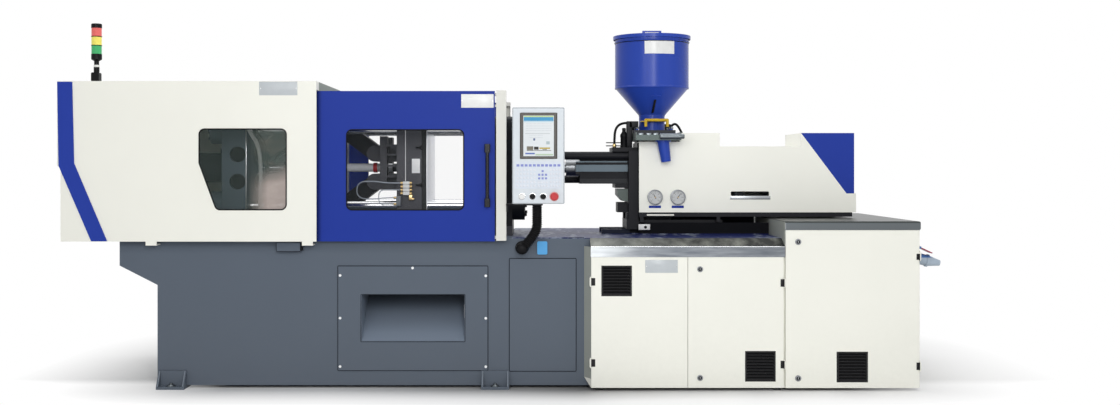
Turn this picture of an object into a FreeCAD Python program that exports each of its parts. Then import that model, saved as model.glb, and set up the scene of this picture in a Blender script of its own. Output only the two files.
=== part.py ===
import FreeCAD, Part
import math
import os

V = FreeCAD.Vector

# All sizes in millimetres. X runs from the left end of the clamp guard to the hopper side,
# Y runs from the front face of the base to its back, Z is the height above the floor.

# ---- base -------------------------------------------------------------------------------
base_depth = 1140.0
base_top = 796.0
base_wall = 12.0
base_left = 509.0
base_right = 3836.0
foot_thick = 15.0
overhang_left = 307.0
overhang_bottom = 652.0
overhang_corner = 549.0
rib_lefts = [1300.0, 2330.0, 2783.0]
foot_lefts = [518.0, 2236.0]
foot_width = 148.0
foot_reach = 60.0
foot_height = 93.5
foot_depth = 100.0
foot_hole_r = 11.0
pad_left = 3560.0
pad_size = 140.0
chute_left, chute_right = 1594.0, 2148.0
chute_bottom, chute_top = 247.0, 498.0
chute_sheet = 3.0
drop_left, drop_right = 1700.0, 2200.0
drop_depth = 300.0
well_left, well_right = 1090.0, 1500.0
well_depth = 240.0
deck_thick = 3.0
deck_lip = 4.0

# ---- machine axis, platens and tie bars -------------------------------------------------
axis_height = 1175.0
tie_pitch = 426.0
tie_r = 25.0
tie_left = 690.0
platen_size = 570.0
running = 0.05
seat_gap = 0.3
tail_left = 780.0
tail_thick = 137.0
moving_left = 1753.0
moving_thick = 168.0
fixed_left = 2235.0
fixed_thick = 160.0
nut_r = 80.0
nut_length = 69.0
slide_height = 34.0
shoe_width = 50.0
locating_r = 62.5
locating_depth = 30.0
nozzle_hole_r = 55.0
mould_hole_r = 8.0
mould_hole_depth = 40.0
mould_pitch_long = 300.0
mould_pitch_short = 210.0

# ---- toggle -----------------------------------------------------------------------------
link_run = 320.0
link_rise = 240.0
pin_offset = 80.0
tail_pin_reach = 50.0
link_r = 46.0
link_pin_r = 24.0
inner_half = 58.0
outer_near, outer_far = 60.0, 100.0
crosshead_left = 1080.0
crosshead_length = 60.0
piston_rod_r = 20.0
ejector_r = 10.0
ejector_tube_r = 24.0
ejector_left = 1390.0
hose_r = 4.0
hose_out = 20.0

# ---- clamp guard and doors --------------------------------------------------------------
sheet = 3.0
guard_out = 70.0
guard_length = 1368.0
guard_top = 1631.0
guard_bottom = 784.0
guard_kink = 1185.0
guard_step = 18.0
band_thick = 5.0
door_left, door_right = guard_length - 7.0, 2308.0
door_bottom, door_top = 783.0, 1581.0
door_out = 35.0
door_depth = 27.0
pane_left, pane_right = 1522.0, 2143.0
pane_bottom, pane_top = 950.0, 1375.0
rear_pane_left = 1477.0
rear_pane_bottom, rear_pane_top = 930.0, 1389.0
pane_lap = 14.0
pane_thick = 5.0
pane_corner = 28.0
post_left, post_right = 2316.0, 2369.0
rail_front, rail_back = 28.0, 12.0
rail_height = 15.0
sill_height = 4.0
handle_left, handle_right = 2254.0, 2284.0
handle_bottom, handle_top = 966.0, 1299.0
handle_block = 45.0
handle_out = 34.0
handle_r = 9.5

# ---- stack light ------------------------------------------------------------------------
stack_x, stack_y = 80.0, 300.0
stack_r = 29.0
stack_stem_r = 13.5
stack_foot_top = 1704.0
stack_body_bottom = 1767.0
stack_green_bottom = 1807.0
lens_height = 45.0
lens_ring = 4.5
stack_cap = 25.0

# ---- injection unit ---------------------------------------------------------------------
bed_left, bed_right = 2900.0, 3820.0
bed_rail_height = 27.0
bed_rail_ys = [430.0, 670.0]
bed_rail_width = 40.0
housing_left, housing_right = 3051.0, 3105.0
throat_right = 3330.0
throat_half = 100.0
throat_top = 1326.0
feed_x = 3197.0
feed_r = 28.0
cylinder_offset = 130.0
cylinder_r = 45.0
ram_rod_r = 18.0
ram_left, ram_thick = 3640.0, 60.0
motor_r = 80.0
barrel_r = 50.0
screw_r = 20.0
barrel_left = 2700.0
nozzle_tip = 2270.0
nozzle_r = 14.0
band_r = 62.0
traverse_y, traverse_rise = 120.0, 68.0
traverse_r = 22.5
traverse_rod_r = 14.0
barrel_guard_half = 95.0
barrel_guard_bottom, barrel_guard_top = 1083.0, 1266.0
cover_front, cover_back = 347.0, 793.0
cover_left, cover_right = 3105.0, 4322.0
cover_bottom, cover_low_top = 924.0, 1294.0
cover_step, cover_top = 1320.0, 1369.0
wedge_left, wedge_foot, wedge_right = 4013.0, 4268.0, 4311.0
wedge_bottom = 1030.0
cover_outline = [(cover_left, cover_bottom), (cover_left, cover_step), (3333, cover_step), (3333, cover_top),
                 (3557, cover_top), (3557, cover_low_top), (wedge_left, cover_low_top),
                 (wedge_left, cover_top),
                 (wedge_foot, wedge_bottom), (cover_right, wedge_bottom), (cover_right, cover_bottom)]
apron_left, apron_front, apron_top = 3110.0, 362.0, 866.0
splash_left, splash_front, splash_top = 3060.0, 830.0, 935.0
gauge_xs = [3194.0, 3322.0]
gauge_height = 1009.0
gauge_r = 43.0
gauge_depth = 22.0
slot_left, slot_right = 3621.0, 3832.0
slot_bottom, slot_top = 1018.0, 1040.0

# ---- hopper -----------------------------------------------------------------------------
slide_left, slide_right = 3079.0, 3328.0
slide_front, slide_back = 225.0, 690.0
slide_plate = 30.0
hopper_flange = 33.0
bowl_r = 212.0
bowl_top, bowl_bottom = 1925.0, 1634.0
cone_bottom = 1475.0
neck_r = 74.0
outlet_r = 30.0
discharge_bore_r = 20.0
lid_height = 18.0
discharge_y = 300.0
discharge_x = 3234.0
discharge_r = 36.0
gate_level = 1437.0
gate_thick = 4.0
gate_half = 70.0
gate_front = 452.0
gate_bar_r = 8.5
gate_bar_xs = [3152.0, 3275.0]
gate_bar_drop = 29.0

# ---- control panel ----------------------------------------------------------------------
panel_left, panel_right = 2402.0, 2676.0
panel_top = 1490.0
panel_front, panel_back = -115.0, -45.0
panel_wall = 3.0
screen_left, screen_right = 2458.0, 2622.0
screen_bottom, screen_top = 1232.0, 1449.0
bezel = 12.0
button_height = 1023.0
panel_bottom = button_height - 38.7
button_xs = [2452.0, 2508.0, 2564.0, 2622.0]
button_stem_r = 6.0
button_r = 14.0
estop_r = 20.0
swivel_x, swivel_y = 2532.0, -80.0
boss_r = 30.0
boss_bore_r = 26.5
conduit_r = 25.0
conduit_valley_r = 21.5
conduit_bore_r = 18.0
conduit_bend_r = 100.0
conduit_top = panel_bottom + 21.7
rib_pitch = 8.0
gland_x, gland_z = 2452.0, 748.0
gland_r = 32.0
gland_mouth = 24.0

# ---- cabinets ---------------------------------------------------------------------------
low_left, low_right = 2817.0, 3836.0
low_front = -90.0
low_door_bottom, low_door_top = 16.0, 703.7
low_split = 3325.0
tall_width = 712.0
tall_right = low_right + tall_width
tall_front = -95.0
tall_top = 892.0
tall_door_top = 845.7
cabinet_bottom = 13.0
door_thick = 20.0
door_skin = 2.5
grille_size = 161.0
slat_count = 9
hinge_pin_r = 2.5
knuckle_r = 5.5
knuckle_height = 40.0
lock_r = 14.0

# worked out from the values above
centre_y = base_depth / 2
half_pitch = tie_pitch / 2
half_platen = platen_size / 2
tie_places = [(centre_y + sy * half_pitch, axis_height + sz * half_pitch) for sy in (-1, 1) for sz in (-1, 1)]
tail_right = tail_left + tail_thick
moving_right = moving_left + moving_thick
fixed_right = fixed_left + fixed_thick
tail_pin_x = tail_right + tail_pin_reach
moving_pin_x = tail_pin_x + 2 * link_run
knee_x = tail_pin_x + link_run
deck_top = base_top + deck_thick
bed_top = deck_top + bed_rail_height
neck_floor = throat_top + slide_plate + hopper_flange


def box(x0, x1, y0, y1, z0, z1):
    return Part.makeBox(x1 - x0, y1 - y0, z1 - z0, V(x0, y0, z0))


def bar_x(x0, x1, y, z, r):
    return Part.makeCylinder(r, x1 - x0, V(x0, y, z), V(1, 0, 0))


def bar_y(x, y0, y1, z, r):
    return Part.makeCylinder(r, y1 - y0, V(x, y0, z), V(0, 1, 0))


def bar_z(x, y, z0, z1, r):
    return Part.makeCylinder(r, z1 - z0, V(x, y, z0), V(0, 0, 1))


def bar_between(start, end, r):
    return Part.makeCylinder(r, (end - start).Length, start, end - start)


def prism_y(points, y0, y1):
    """Outline of (x, z) points, carried from y0 to y1."""
    wire = Part.makePolygon([V(x, y0, z) for x, z in points + points[:1]])
    return Part.Face(wire).extrude(V(0, y1 - y0, 0))


def prism_x(points, x0, x1):
    """Outline of (y, z) points, carried from x0 to x1."""
    wire = Part.makePolygon([V(x0, y, z) for y, z in points + points[:1]])
    return Part.Face(wire).extrude(V(x1 - x0, 0, 0))


def prism_z(points, z0, z1):
    """Outline of (x, y) points, carried from z0 to z1."""
    wire = Part.makePolygon([V(x, y, z0) for x, y in points + points[:1]])
    return Part.Face(wire).extrude(V(0, 0, z1 - z0))


def join(shapes):
    first = shapes[0]
    return first.multiFuse(shapes[1:]) if len(shapes) > 1 else first


def cut(shape, tools):
    for tool in tools:
        shape = shape.cut(tool)
    return shape


def group(shapes):
    """Separate solids kept in one node."""
    solids = []
    for shape in shapes:
        solids += shape.Solids
    return Part.makeCompound(solids)


def round_edges(shape, r, direction):
    """Rounds the straight edges that run along one direction."""
    edges = []
    for edge in shape.Edges:
        if len(edge.Vertexes) == 2:
            run = edge.Vertexes[1].Point - edge.Vertexes[0].Point
            if run.Length > 0 and abs(abs(run.normalize().dot(direction)) - 1) < 1e-6:
                edges.append(edge)
    return shape.makeFillet(r, edges)


def rounded_y(x0, x1, y0, y1, z0, z1, r):
    return round_edges(box(x0, x1, y0, y1, z0, z1), r, V(0, 1, 0))


def mirrored(shape):
    """The same shape on the other side of the machine's centre plane."""
    return shape.mirror(V(0, centre_y, 0), V(0, 1, 0))


def below(shape):
    """The same shape mirrored to the other side of the clamp axis."""
    return shape.mirror(V(0, 0, axis_height), V(0, 0, 1))


def inset(points, amount):
    """Outline of (x, z) points moved inwards by the same amount all round."""
    face = Part.Face(Part.makePolygon([V(x, 0, z) for x, z in points + points[:1]]))
    smaller = face.makeOffset2D(-amount)
    return [(v.Point.x, v.Point.z) for v in smaller.OuterWire.OrderedVertexes]


# ---- base -------------------------------------------------------------------------------
def foot():
    parts = []
    for left in foot_lefts:
        right = left + foot_width
        parts.append(box(left, right, -foot_reach, foot_depth, 0, foot_thick))
        parts.append(box(left, right, -base_wall, 0, foot_thick, foot_height))
        for gusset in (left, right - base_wall):
            side = [(-foot_reach, foot_thick), (-base_wall, foot_thick), (-base_wall, foot_height)]
            parts.append(prism_x(side, gusset, gusset + base_wall))
    parts.append(box(pad_left, pad_left + pad_size, 0, pad_size, 0, foot_thick))
    holes = [bar_z(left + foot_width / 2, -foot_reach / 2 - 5, -1, foot_thick + 1, foot_hole_r)
             for left in foot_lefts]
    return cut(join(parts), holes)


def base_walls():
    """End walls and the sloping plates under the overhang, between the two long walls."""
    outline = [(overhang_left, base_top), (base_right, base_top), (base_right, foot_thick),
               (base_left, foot_thick), (base_left, overhang_corner), (overhang_left, overhang_bottom)]
    near, far = base_wall, base_depth - base_wall
    ring = prism_y(outline, near, far).cut(prism_y(inset(outline, base_wall), near - 1, far + 1))
    floor_gap = box(base_left + base_wall, base_right - base_wall, near - 1, far + 1, foot_thick - 1,
                    foot_thick + base_wall + 1)
    top_gap = box(overhang_left - 1, base_right + 1, near - 1, far + 1, base_top - base_wall, base_top + 1)
    return cut(ring, [floor_gap, top_gap])


def base_frame():
    """Welded plates: two long walls, end walls, top, cross ribs, feet and the clamp unit's ways."""
    under = base_top - base_wall
    outline = [(overhang_left, under), (base_right, under), (base_right, foot_thick),
               (base_left, foot_thick), (base_left, overhang_corner), (overhang_left, overhang_bottom)]
    wall = prism_y(outline, 0, base_wall)
    mouth = box(chute_left, chute_right, -1, base_wall + 1, chute_bottom, chute_top)
    bay = box(2850, 3800, -1, base_wall + 1, 60, 690)
    top = box(overhang_left, base_right, 0, base_depth, under, base_top)
    drop = box(drop_left, drop_right, centre_y - drop_depth / 2, centre_y + drop_depth / 2, under - 1,
               base_top + 1)
    well = box(well_left, well_right, centre_y - well_depth / 2, centre_y + well_depth / 2, base_top - 60,
               base_top + 1)
    ribs = [box(left, left + base_wall, base_wall, base_depth - base_wall, foot_thick, under)
            for left in rib_lefts]
    ribs[0] = ribs[0].cut(well)
    ways = [box(moving_left - 240, fixed_left, y - shoe_width / 2, y + shoe_width / 2, base_top,
                base_top + slide_height) for y in (centre_y - 200, centre_y + 200)]
    cable_box = box(1149, 1279, -40, 0, 729, 780)
    return group([cut(wall, [mouth, bay]), mirrored(wall), base_walls(), cut(top, [drop, well]), foot(),
                  mirrored(foot()), cable_box] + ribs + ways)


def screw_heads(places):
    return [bar_y(x, -6.5, -4, z, 7) for x, z in places]


def front_panels():
    """Chute panel with its sloping chute, service panel, their screws and the outlet cover."""
    panel = box(1472, 2269, -4, 0, 94, 649).cut(box(chute_left, chute_right, -5, 1, chute_bottom, chute_top))
    run, rise = 0.6 * base_depth, 500.0
    slope = [(0, chute_bottom), (run, chute_bottom + rise), (run, chute_bottom + rise + chute_sheet),
             (0, chute_bottom + chute_sheet)]
    cheek = [(0, chute_bottom), (run, chute_bottom + rise), (run, base_top - base_wall - 1),
             (base_wall, base_top - base_wall - 1), (base_wall, chute_top), (0, chute_top)]
    chute = prism_x(slope, chute_left, chute_right)
    cheeks = [prism_x(cheek, chute_left, chute_left + chute_sheet),
              prism_x(cheek, chute_right - chute_sheet, chute_right)]
    marks = [(1869, 640), (1483, 600), (2259, 598), (1483, 373), (2259, 372), (1483, 115), (2259, 114)]
    service = box(2386, 2739, -4, 0, 91, 689)
    outlet = round_edges(box(2533, 2587, -14, 0, 712, 782), 8, V(0, 1, 0))
    return group([join([panel, chute] + cheeks + screw_heads(marks)), service, outlet])


def deck_tray():
    """Steel deck with a low front lip, the bed rails, and a sheet at each side of the injection unit."""
    plate = box(fixed_right + 4, base_right, 0, base_depth, base_top, deck_top)
    lip = box(fixed_right + 4, low_left - 34, 0, deck_thick, deck_top, deck_top + deck_lip)
    rails = [box(bed_left, bed_right, y, y + bed_rail_width, deck_top, bed_top) for y in bed_rail_ys]
    apron = box(apron_left, base_right - 2, apron_front, apron_front + sheet, deck_top, apron_top)
    splash = box(splash_left, base_right - 2, splash_front, splash_front + sheet, deck_top, splash_top)
    return group([join([plate, lip] + rails), apron, splash])


# ---- clamp guard and doors --------------------------------------------------------------
def guard_outline():
    return [(0, guard_top), (guard_length, guard_top), (guard_length, guard_bottom),
            (guard_step, guard_bottom), (guard_step, guard_kink - 15), (0, guard_kink)]


def guard_window_outline(grow):
    return [(749 - grow, 1378 + grow), (1209 + grow, 1378 + grow), (1209 + grow, 952 - grow),
            (840 - grow, 952 - grow), (749 - grow, 1199)]


def guard_front():
    face = prism_y(guard_outline(), -guard_out, -guard_out + sheet)
    opening = prism_y(guard_window_outline(0), -guard_out - 1, -guard_out + sheet + 1)
    hole = round_edges(opening, 30, V(0, 1, 0))
    return face.cut(hole)


def guard_window():
    pane = prism_y(guard_window_outline(pane_lap), -guard_out + sheet, -guard_out + sheet + pane_thick)
    return round_edges(pane, 30, V(0, 1, 0))


def guard_wrap():
    """Top, left end and bottom strip folded in one, with the rear sheet and the right end header."""
    near, far = -guard_out + sheet, base_depth + guard_out - sheet
    ring = prism_y(guard_outline(), near, far).cut(prism_y(inset(guard_outline(), sheet), near - 1, far + 1))
    doorway = box(guard_length - 2 * sheet, guard_length + 1, near - 1, far + 1, guard_bottom - 1,
                  door_top + 4)
    under = box(overhang_left, guard_length + 1, near - 1, far + 1, guard_bottom - 1,
                guard_bottom + sheet + 1)
    rear = prism_y(guard_outline(), far, far + sheet)
    return join([cut(ring, [doorway, under]), rear])


def stripe_panel():
    outline = [(2, 1627), (81, 1627), (91, 1197), (265, 786), (181, 786), (9, 1185)]
    return prism_y(outline, -guard_out - band_thick, -guard_out)


def door_leaf(left, bottom, top):
    """Sheet with a window hole, folded edges, and the shoes that run on the two rails."""
    skin = box(door_left, door_right, -door_out, -door_out + sheet, door_bottom, door_top)
    hole = rounded_y(left, pane_right, -door_out - 1, -door_out + sheet + 1, bottom, top, pane_corner)
    back = -door_out + door_depth
    upper = box(door_left, door_right, -door_out, back, door_top - sheet, door_top)
    sides = [box(x, x + sheet, -door_out, back, door_bottom + 67, door_top - 41)
             for x in (door_left, door_right - sheet)]
    low_shoe = base_top + sill_height + 12 + seat_gap
    shoes = []
    for x in (door_left + 80, door_right - 140):
        shoes.append(box(x, x + 60, -door_out, back, low_shoe, low_shoe + 26))
        shoes.append(box(x, x + 60, -door_out, back, door_top - 11 + seat_gap, door_top - sheet))
    return join([skin.cut(hole), upper] + sides + shoes)


def door_pane(left, bottom, top):
    front = -door_out + sheet
    return rounded_y(left - pane_lap, pane_right + pane_lap, front, front + pane_thick,
                     bottom - pane_lap, top + pane_lap, pane_corner)


def door_handle():
    """Round grip between two end blocks that stand on the door's skin."""
    out = -door_out - handle_out
    middle = (handle_left + handle_right) / 2
    grip = bar_z(middle, out + handle_r, handle_bottom + 5, handle_top - 5, handle_r)
    blocks = [round_edges(box(handle_left, handle_right, out, -door_out, z, z + handle_block), 6,
                          V(0, 0, 1))
              for z in (handle_bottom, handle_top - handle_block)]
    return join([grip] + blocks)


def door_frame_half():
    """Rails, sill and post of one door, and the two brackets under the guard."""
    rail_top = door_top - 11
    top_rail = box(sheet, post_left, -rail_front, -rail_back, rail_top - rail_height, rail_top)
    sill_top = base_top + sill_height
    low_rail = box(460, post_left, -rail_front, -rail_back, sill_top, sill_top + 12)
    sill = box(overhang_left + base_wall, post_left, -rail_front, 30, base_top, sill_top)
    post = box(post_left, post_right, -60, 0, base_top - 8, door_top + 2).cut(
        box(post_left + sheet, post_right - sheet, -57, 1, base_top + 104, door_top - 21))
    brackets = []
    for left in (466, guard_length - 77):
        brackets.append(join([box(left, left + 58, -guard_out + sheet, 0, 763, 769),
                              box(left, left + 58, -guard_out + sheet, -guard_out + 2 * sheet, 763, 810)]))
    return group([top_rail, low_rail, sill, post] + brackets)


def door_frame():
    return group([door_frame_half(), mirrored(door_frame_half())])


def rear_door():
    return mirrored(join([door_leaf(rear_pane_left, rear_pane_bottom, rear_pane_top), door_handle()]))


# ---- stack light ------------------------------------------------------------------------
def lens_bottom(index):
    return stack_green_bottom + index * (lens_height + lens_ring)


def stack_light_body():
    foot_block = round_edges(box(stack_x - 24, stack_x + 20, stack_y - 22, stack_y + 22, guard_top,
                                 stack_foot_top), 8, V(0, 1, 0))
    stem = bar_z(stack_x, stack_y, stack_foot_top, stack_body_bottom, stack_stem_r)
    body = Part.makeCone(stack_stem_r, stack_r, 10, V(stack_x, stack_y, stack_body_bottom))
    base = bar_z(stack_x, stack_y, stack_body_bottom + 10, stack_green_bottom, stack_r)
    rings = [bar_z(stack_x, stack_y, lens_bottom(i) + lens_height, lens_bottom(i + 1), stack_r)
             for i in range(2)]
    cap_bottom = lens_bottom(2) + lens_height
    cap = bar_z(stack_x, stack_y, cap_bottom, cap_bottom + stack_cap, stack_r)
    cap = cap.makeFillet(6, [e for e in cap.Edges if abs(e.CenterOfMass.z - cap.BoundBox.ZMax) < 0.01])
    return group([join([foot_block, stem, body, base])] + rings + [cap])


def lens(index):
    bottom = lens_bottom(index)
    return bar_z(stack_x, stack_y, bottom, bottom + lens_height, stack_r - 0.8)


# ---- clamp unit -------------------------------------------------------------------------
def platen(left, thick, bore_r):
    plate = box(left, left + thick, centre_y - half_platen, centre_y + half_platen,
                axis_height - half_platen, axis_height + half_platen)
    plate = round_edges(plate, 40, V(1, 0, 0))
    return cut(plate, [bar_x(left - 1, left + thick + 1, y, z, bore_r) for y, z in tie_places])


def mould_holes(face, depth):
    """Two rectangles of blind mould bolt holes, one upright and one lying."""
    start = min(face, face + depth)
    holes = []
    for dy, dz in ((mould_pitch_long, mould_pitch_short), (mould_pitch_short, mould_pitch_long)):
        for sy in (-0.5, 0.5):
            for sz in (-0.5, 0.5):
                holes.append(bar_x(start, start + abs(depth), centre_y + sy * dy, axis_height + sz * dz,
                                   mould_hole_r))
    return holes


def tie_nut(left, y, z, side):
    """Round nut with six cap screws on the side that faces away from the platen."""
    body = bar_x(left, left + nut_length, y, z, nut_r)
    face = left + nut_length if side > 0 else left - 12
    heads = [bar_x(face, face + 12, y + 0.72 * nut_r * math.cos(k * math.pi / 3),
                   z + 0.72 * nut_r * math.sin(k * math.pi / 3), 8) for k in range(6)]
    return join([body] + heads).cut(bar_x(left - 1, left + nut_length + 1, y, z, tie_r))


def fixed_platen():
    plate = platen(fixed_left, fixed_thick, tie_r)
    leg = box(fixed_left, fixed_right, centre_y - half_platen, centre_y + half_platen, base_top,
              axis_height - half_platen + 45)
    tools = [bar_x(fixed_left - 1, fixed_left + locating_depth, centre_y, axis_height, locating_r),
             bar_x(fixed_left, fixed_right + 1, centre_y, axis_height, nozzle_hole_r)]
    body = cut(join([plate, leg]), tools + mould_holes(fixed_left, mould_hole_depth))
    body = cut(body, [bar_x(fixed_left - 1, fixed_right + 1, y, z, tie_r) for y, z in tie_places])
    rods = [bar_x(fixed_right, 2960, y, z, traverse_rod_r) for y, z in traverse_places()]
    nuts = [tie_nut(fixed_right, y, z, 1) for y, z in tie_places]
    return join([body] + rods + nuts)


def pin_lug(pin_x, face_x, near, far):
    """A lug from a platen's face to the pin, between two distances from the centre plane."""
    x0, x1 = min(pin_x, face_x), max(pin_x, face_x)
    z = axis_height + pin_offset
    lugs = []
    for y0, y1 in ((centre_y - far, centre_y - near), (centre_y + near, centre_y + far)):
        lugs.append(box(x0, x1, y0, y1, z - link_r, z + link_r))
        lugs.append(bar_y(pin_x, y0, y1, z, link_r))
    return join(lugs)


def tail_platen():
    plate = platen(tail_left, tail_thick, tie_r)
    legs = [box(tail_left, tail_right, y - shoe_width / 2, y + shoe_width / 2, base_top,
                axis_height - half_platen + 45) for y in (centre_y - 200, centre_y + 200)]
    lug = pin_lug(tail_pin_x, tail_right, 0, inner_half)
    front = centre_y - half_platen
    pockets = [bar_y(867, front - 1, front + 30, z, 44) for z in (1248, 1097)]
    bores = [bar_x(tail_left - 1, tail_right + 80, centre_y, axis_height, piston_rod_r + running)]
    for side in (1, -1):
        bores.append(bar_y(tail_pin_x, centre_y - inner_half - 1, centre_y + inner_half + 1,
                           axis_height + side * pin_offset, link_pin_r + running))
    bores += [bar_x(tail_left - 1, tail_right + 1, y, z, tie_r) for y, z in tie_places]
    body = cut(join([plate, lug, below(lug)] + legs), pockets + bores)
    nuts = [tie_nut(tail_left - nut_length, y, z, -1) for y, z in tie_places]
    return join([body] + nuts)


def moving_platen():
    """Platen with pin lugs, ribbed side posts, the ejector's tube and the shoes on the ways."""
    plate = platen(moving_left, moving_thick, tie_r + running)
    lug = pin_lug(moving_pin_x, moving_left, outer_near, outer_far)
    pin = bar_y(moving_pin_x, centre_y - outer_far, centre_y + outer_far, axis_height + pin_offset,
                link_pin_r)
    near, far = centre_y - 180, centre_y - outer_far
    post = box(moving_left - 107, moving_left - 67, near, far, axis_height - 77, axis_height + 177)
    ribs = [box(moving_left - 67, moving_left, near, far, z, z + 12) for z in (1119, 1180, 1242, 1294)]
    gusset = prism_y([(moving_left - 67, 1306), (moving_left, 1254), (moving_left, 1306)], near, far)
    side = join([post, gusset] + ribs)
    tube = bar_x(ejector_left, moving_left, centre_y, axis_height, ejector_tube_r)
    ring = bar_x(1655, 1675, centre_y, axis_height, ejector_tube_r + 5)
    shoes = [box(moving_left, moving_right, y - shoe_width / 2, y + shoe_width / 2,
                 base_top + slide_height + seat_gap, axis_height - half_platen + 45)
             for y in (centre_y - 200, centre_y + 200)]
    body = join([plate, lug, below(lug), pin, below(pin), side, mirrored(side), tube, ring] + shoes)
    bore = bar_x(ejector_left + 20, moving_right + 1, centre_y, axis_height, ejector_r + running)
    ties = [bar_x(moving_left - 1, moving_right + 1, y, z, tie_r + running) for y, z in tie_places]
    return cut(body, [bore] + ties + mould_holes(moving_right, -mould_hole_depth))


def ejector_rod():
    return bar_x(ejector_left + 30, moving_right - 2, centre_y, axis_height, ejector_r)


def tie_bars():
    return group([bar_x(tie_left, fixed_right + nut_length - 6, y, z, tie_r) for y, z in tie_places])


def clamp_cylinder():
    tube = bar_x(330, tail_left, centre_y, axis_height, 85).cut(
        bar_x(370, tail_left - 30, centre_y, axis_height, 60))
    flange = bar_x(tail_left - 30, tail_left, centre_y, axis_height, 110)
    cap = bar_x(322, 352, centre_y, axis_height, 100)
    ports = [bar_z(x, centre_y, axis_height + 80, axis_height + 110, 16) for x in (400, 720)]
    body = join([tube, flange, cap] + ports)
    return body.cut(bar_x(tail_left - 31, tail_left + 1, centre_y, axis_height, piston_rod_r + running))


def crosshead():
    block = box(crosshead_left, crosshead_left + crosshead_length, centre_y - 54, centre_y + 54,
                axis_height - 32, axis_height + 32)
    rod = bar_x(560, crosshead_left, centre_y, axis_height, piston_rod_r)
    piston = bar_x(560, 600, centre_y, axis_height, 60 - running)
    return join([block, rod, piston])


def link_plate(y0, y1):
    """Plain plate with round ends from the tail pin to the knee pin."""
    z0, z1 = axis_height + pin_offset, axis_height + pin_offset + link_rise
    length = math.hypot(link_run, link_rise)
    ux, uz = link_run / length, link_rise / length
    nx, nz = -uz * link_r, ux * link_r
    sides = [(tail_pin_x + nx, z0 + nz), (knee_x + nx, z1 + nz), (knee_x - nx, z1 - nz),
             (tail_pin_x - nx, z0 - nz)]
    ends = [bar_y(tail_pin_x, y0, y1, z0, link_r), bar_y(knee_x, y0, y1, z1, link_r)]
    return join([prism_y(sides, y0, y1)] + ends)


def rear_link():
    """Two outer plates with the tail pin and the knee pin."""
    z0, z1 = axis_height + pin_offset, axis_height + pin_offset + link_rise
    plates = [link_plate(centre_y - outer_far, centre_y - outer_near),
              link_plate(centre_y + outer_near, centre_y + outer_far)]
    pins = [bar_y(x, centre_y - outer_far, centre_y + outer_far, z, link_pin_r)
            for x, z in ((tail_pin_x, z0), (knee_x, z1))]
    return join(plates + pins)


def front_link():
    """Inner plate that bears on the knee pin with a shallow seat, open on the far side."""
    plate = link_plate(centre_y - inner_half, centre_y + inner_half).mirror(V(knee_x, 0, 0), V(1, 0, 0))
    z0, z1 = axis_height + pin_offset, axis_height + pin_offset + link_rise
    length = math.hypot(link_run, link_rise)
    ux, uz = -link_run / length, link_rise / length
    seat_cut = 15.6
    edge_x, edge_z = knee_x - ux * seat_cut, z1 - uz * seat_cut
    corners = []
    for along, across in ((0, -90), (0, 90), (140, 90), (140, -90)):
        corners.append((edge_x + ux * along - uz * across, edge_z + uz * along + ux * across))
    tools = [prism_y(corners, centre_y - inner_half - 1, centre_y + inner_half + 1)]
    tools.append(bar_y(knee_x, centre_y - inner_half - 1, centre_y + inner_half + 1, z1,
                       link_pin_r + seat_gap))
    tools.append(bar_y(moving_pin_x, centre_y - inner_half - 1, centre_y + inner_half + 1, z0,
                       link_pin_r + running))
    return cut(plate, tools)


def water_manifold():
    """White blocks with brass ends on the moving platen's front side, a return block and a thin riser."""
    front = centre_y - half_platen
    parts = [box(1790, 1826, front - 30, front, 1022, 1100)]
    for i in range(4):
        parts.append(bar_x(1776, 1840, front - hose_out, 1032 + 19 * i, 7.5))
    parts.append(bar_x(1836, 1852, front - 14, 1000, 6))
    parts.append(box(1822, 1840, front - 20, front, 994, 1024))
    riser = bar_z(1812, front - 2.8, 1100, 1440, 2.5)
    clip = box(1807, 1817, front - 7, front, 1428, 1440)
    back = box(moving_left, moving_left + 30, front - 30, front, 960, 1020)
    stubs = [bar_x(moving_left - 16, moving_left, front - hose_out, z, 6.5) for z in (1008, 972)]
    return group([join(parts + [riser, clip]), join([back] + stubs)])


def smooth_tube(points, r, bend):
    """Straight runs joined by tangent arcs of one radius, with a round section."""
    edges = []
    start = points[0]
    radii = []
    for before, corner, after in zip(points, points[1:], points[2:]):
        a = (before - corner).normalize()
        b = (after - corner).normalize()
        half = a.getAngle(b) / 2
        shorter = min((before - corner).Length, (after - corner).Length)
        radius = min(bend, 0.45 * shorter * math.tan(half))
        radii.append(round(radius, 1))
        reach = radius / math.tan(half)
        p, q = corner + a * reach, corner + b * reach
        middle = (a + b).normalize()
        centre = corner + middle * (radius / math.sin(half))
        edges.append(Part.LineSegment(start, p).toShape())
        edges.append(Part.Arc(p, centre - middle * radius, q).toShape())
        start = q
    edges.append(Part.LineSegment(start, points[-1]).toShape())
    path = Part.Wire(edges)
    ring = Part.Wire(Part.makeCircle(r, points[0], points[1] - points[0]))
    tube = path.makePipeShell([ring], True, False)
    print("tube length", round(path.Length, 1), "radii", radii, "volume ratio",
          round(tube.Volume / (math.pi * r * r * path.Length), 4))
    return tube


def water_hoses():
    """Two clear hoses that loop from the manifold round to the return block below it."""
    y = centre_y - half_platen - hose_out
    end = moving_left - 16
    upper = [V(1776, y, 1089), V(1700, y, 1089), V(1622, y, 1101), V(1534, y, 1094), V(1534, y, 1004),
             V(1636, y, 1000), V(1690, y, 1008), V(end, y, 1008)]
    lower = [V(1776, y, 1051), V(1655, y, 1051), V(1655, y, 972), V(end, y, 972)]
    return group([smooth_tube(upper, hose_r, 60), smooth_tube(lower, hose_r, 40)])


# ---- injection unit ---------------------------------------------------------------------
def traverse_places():
    return [(centre_y - traverse_y, axis_height + traverse_rise),
            (centre_y + traverse_y, axis_height - traverse_rise)]


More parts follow.
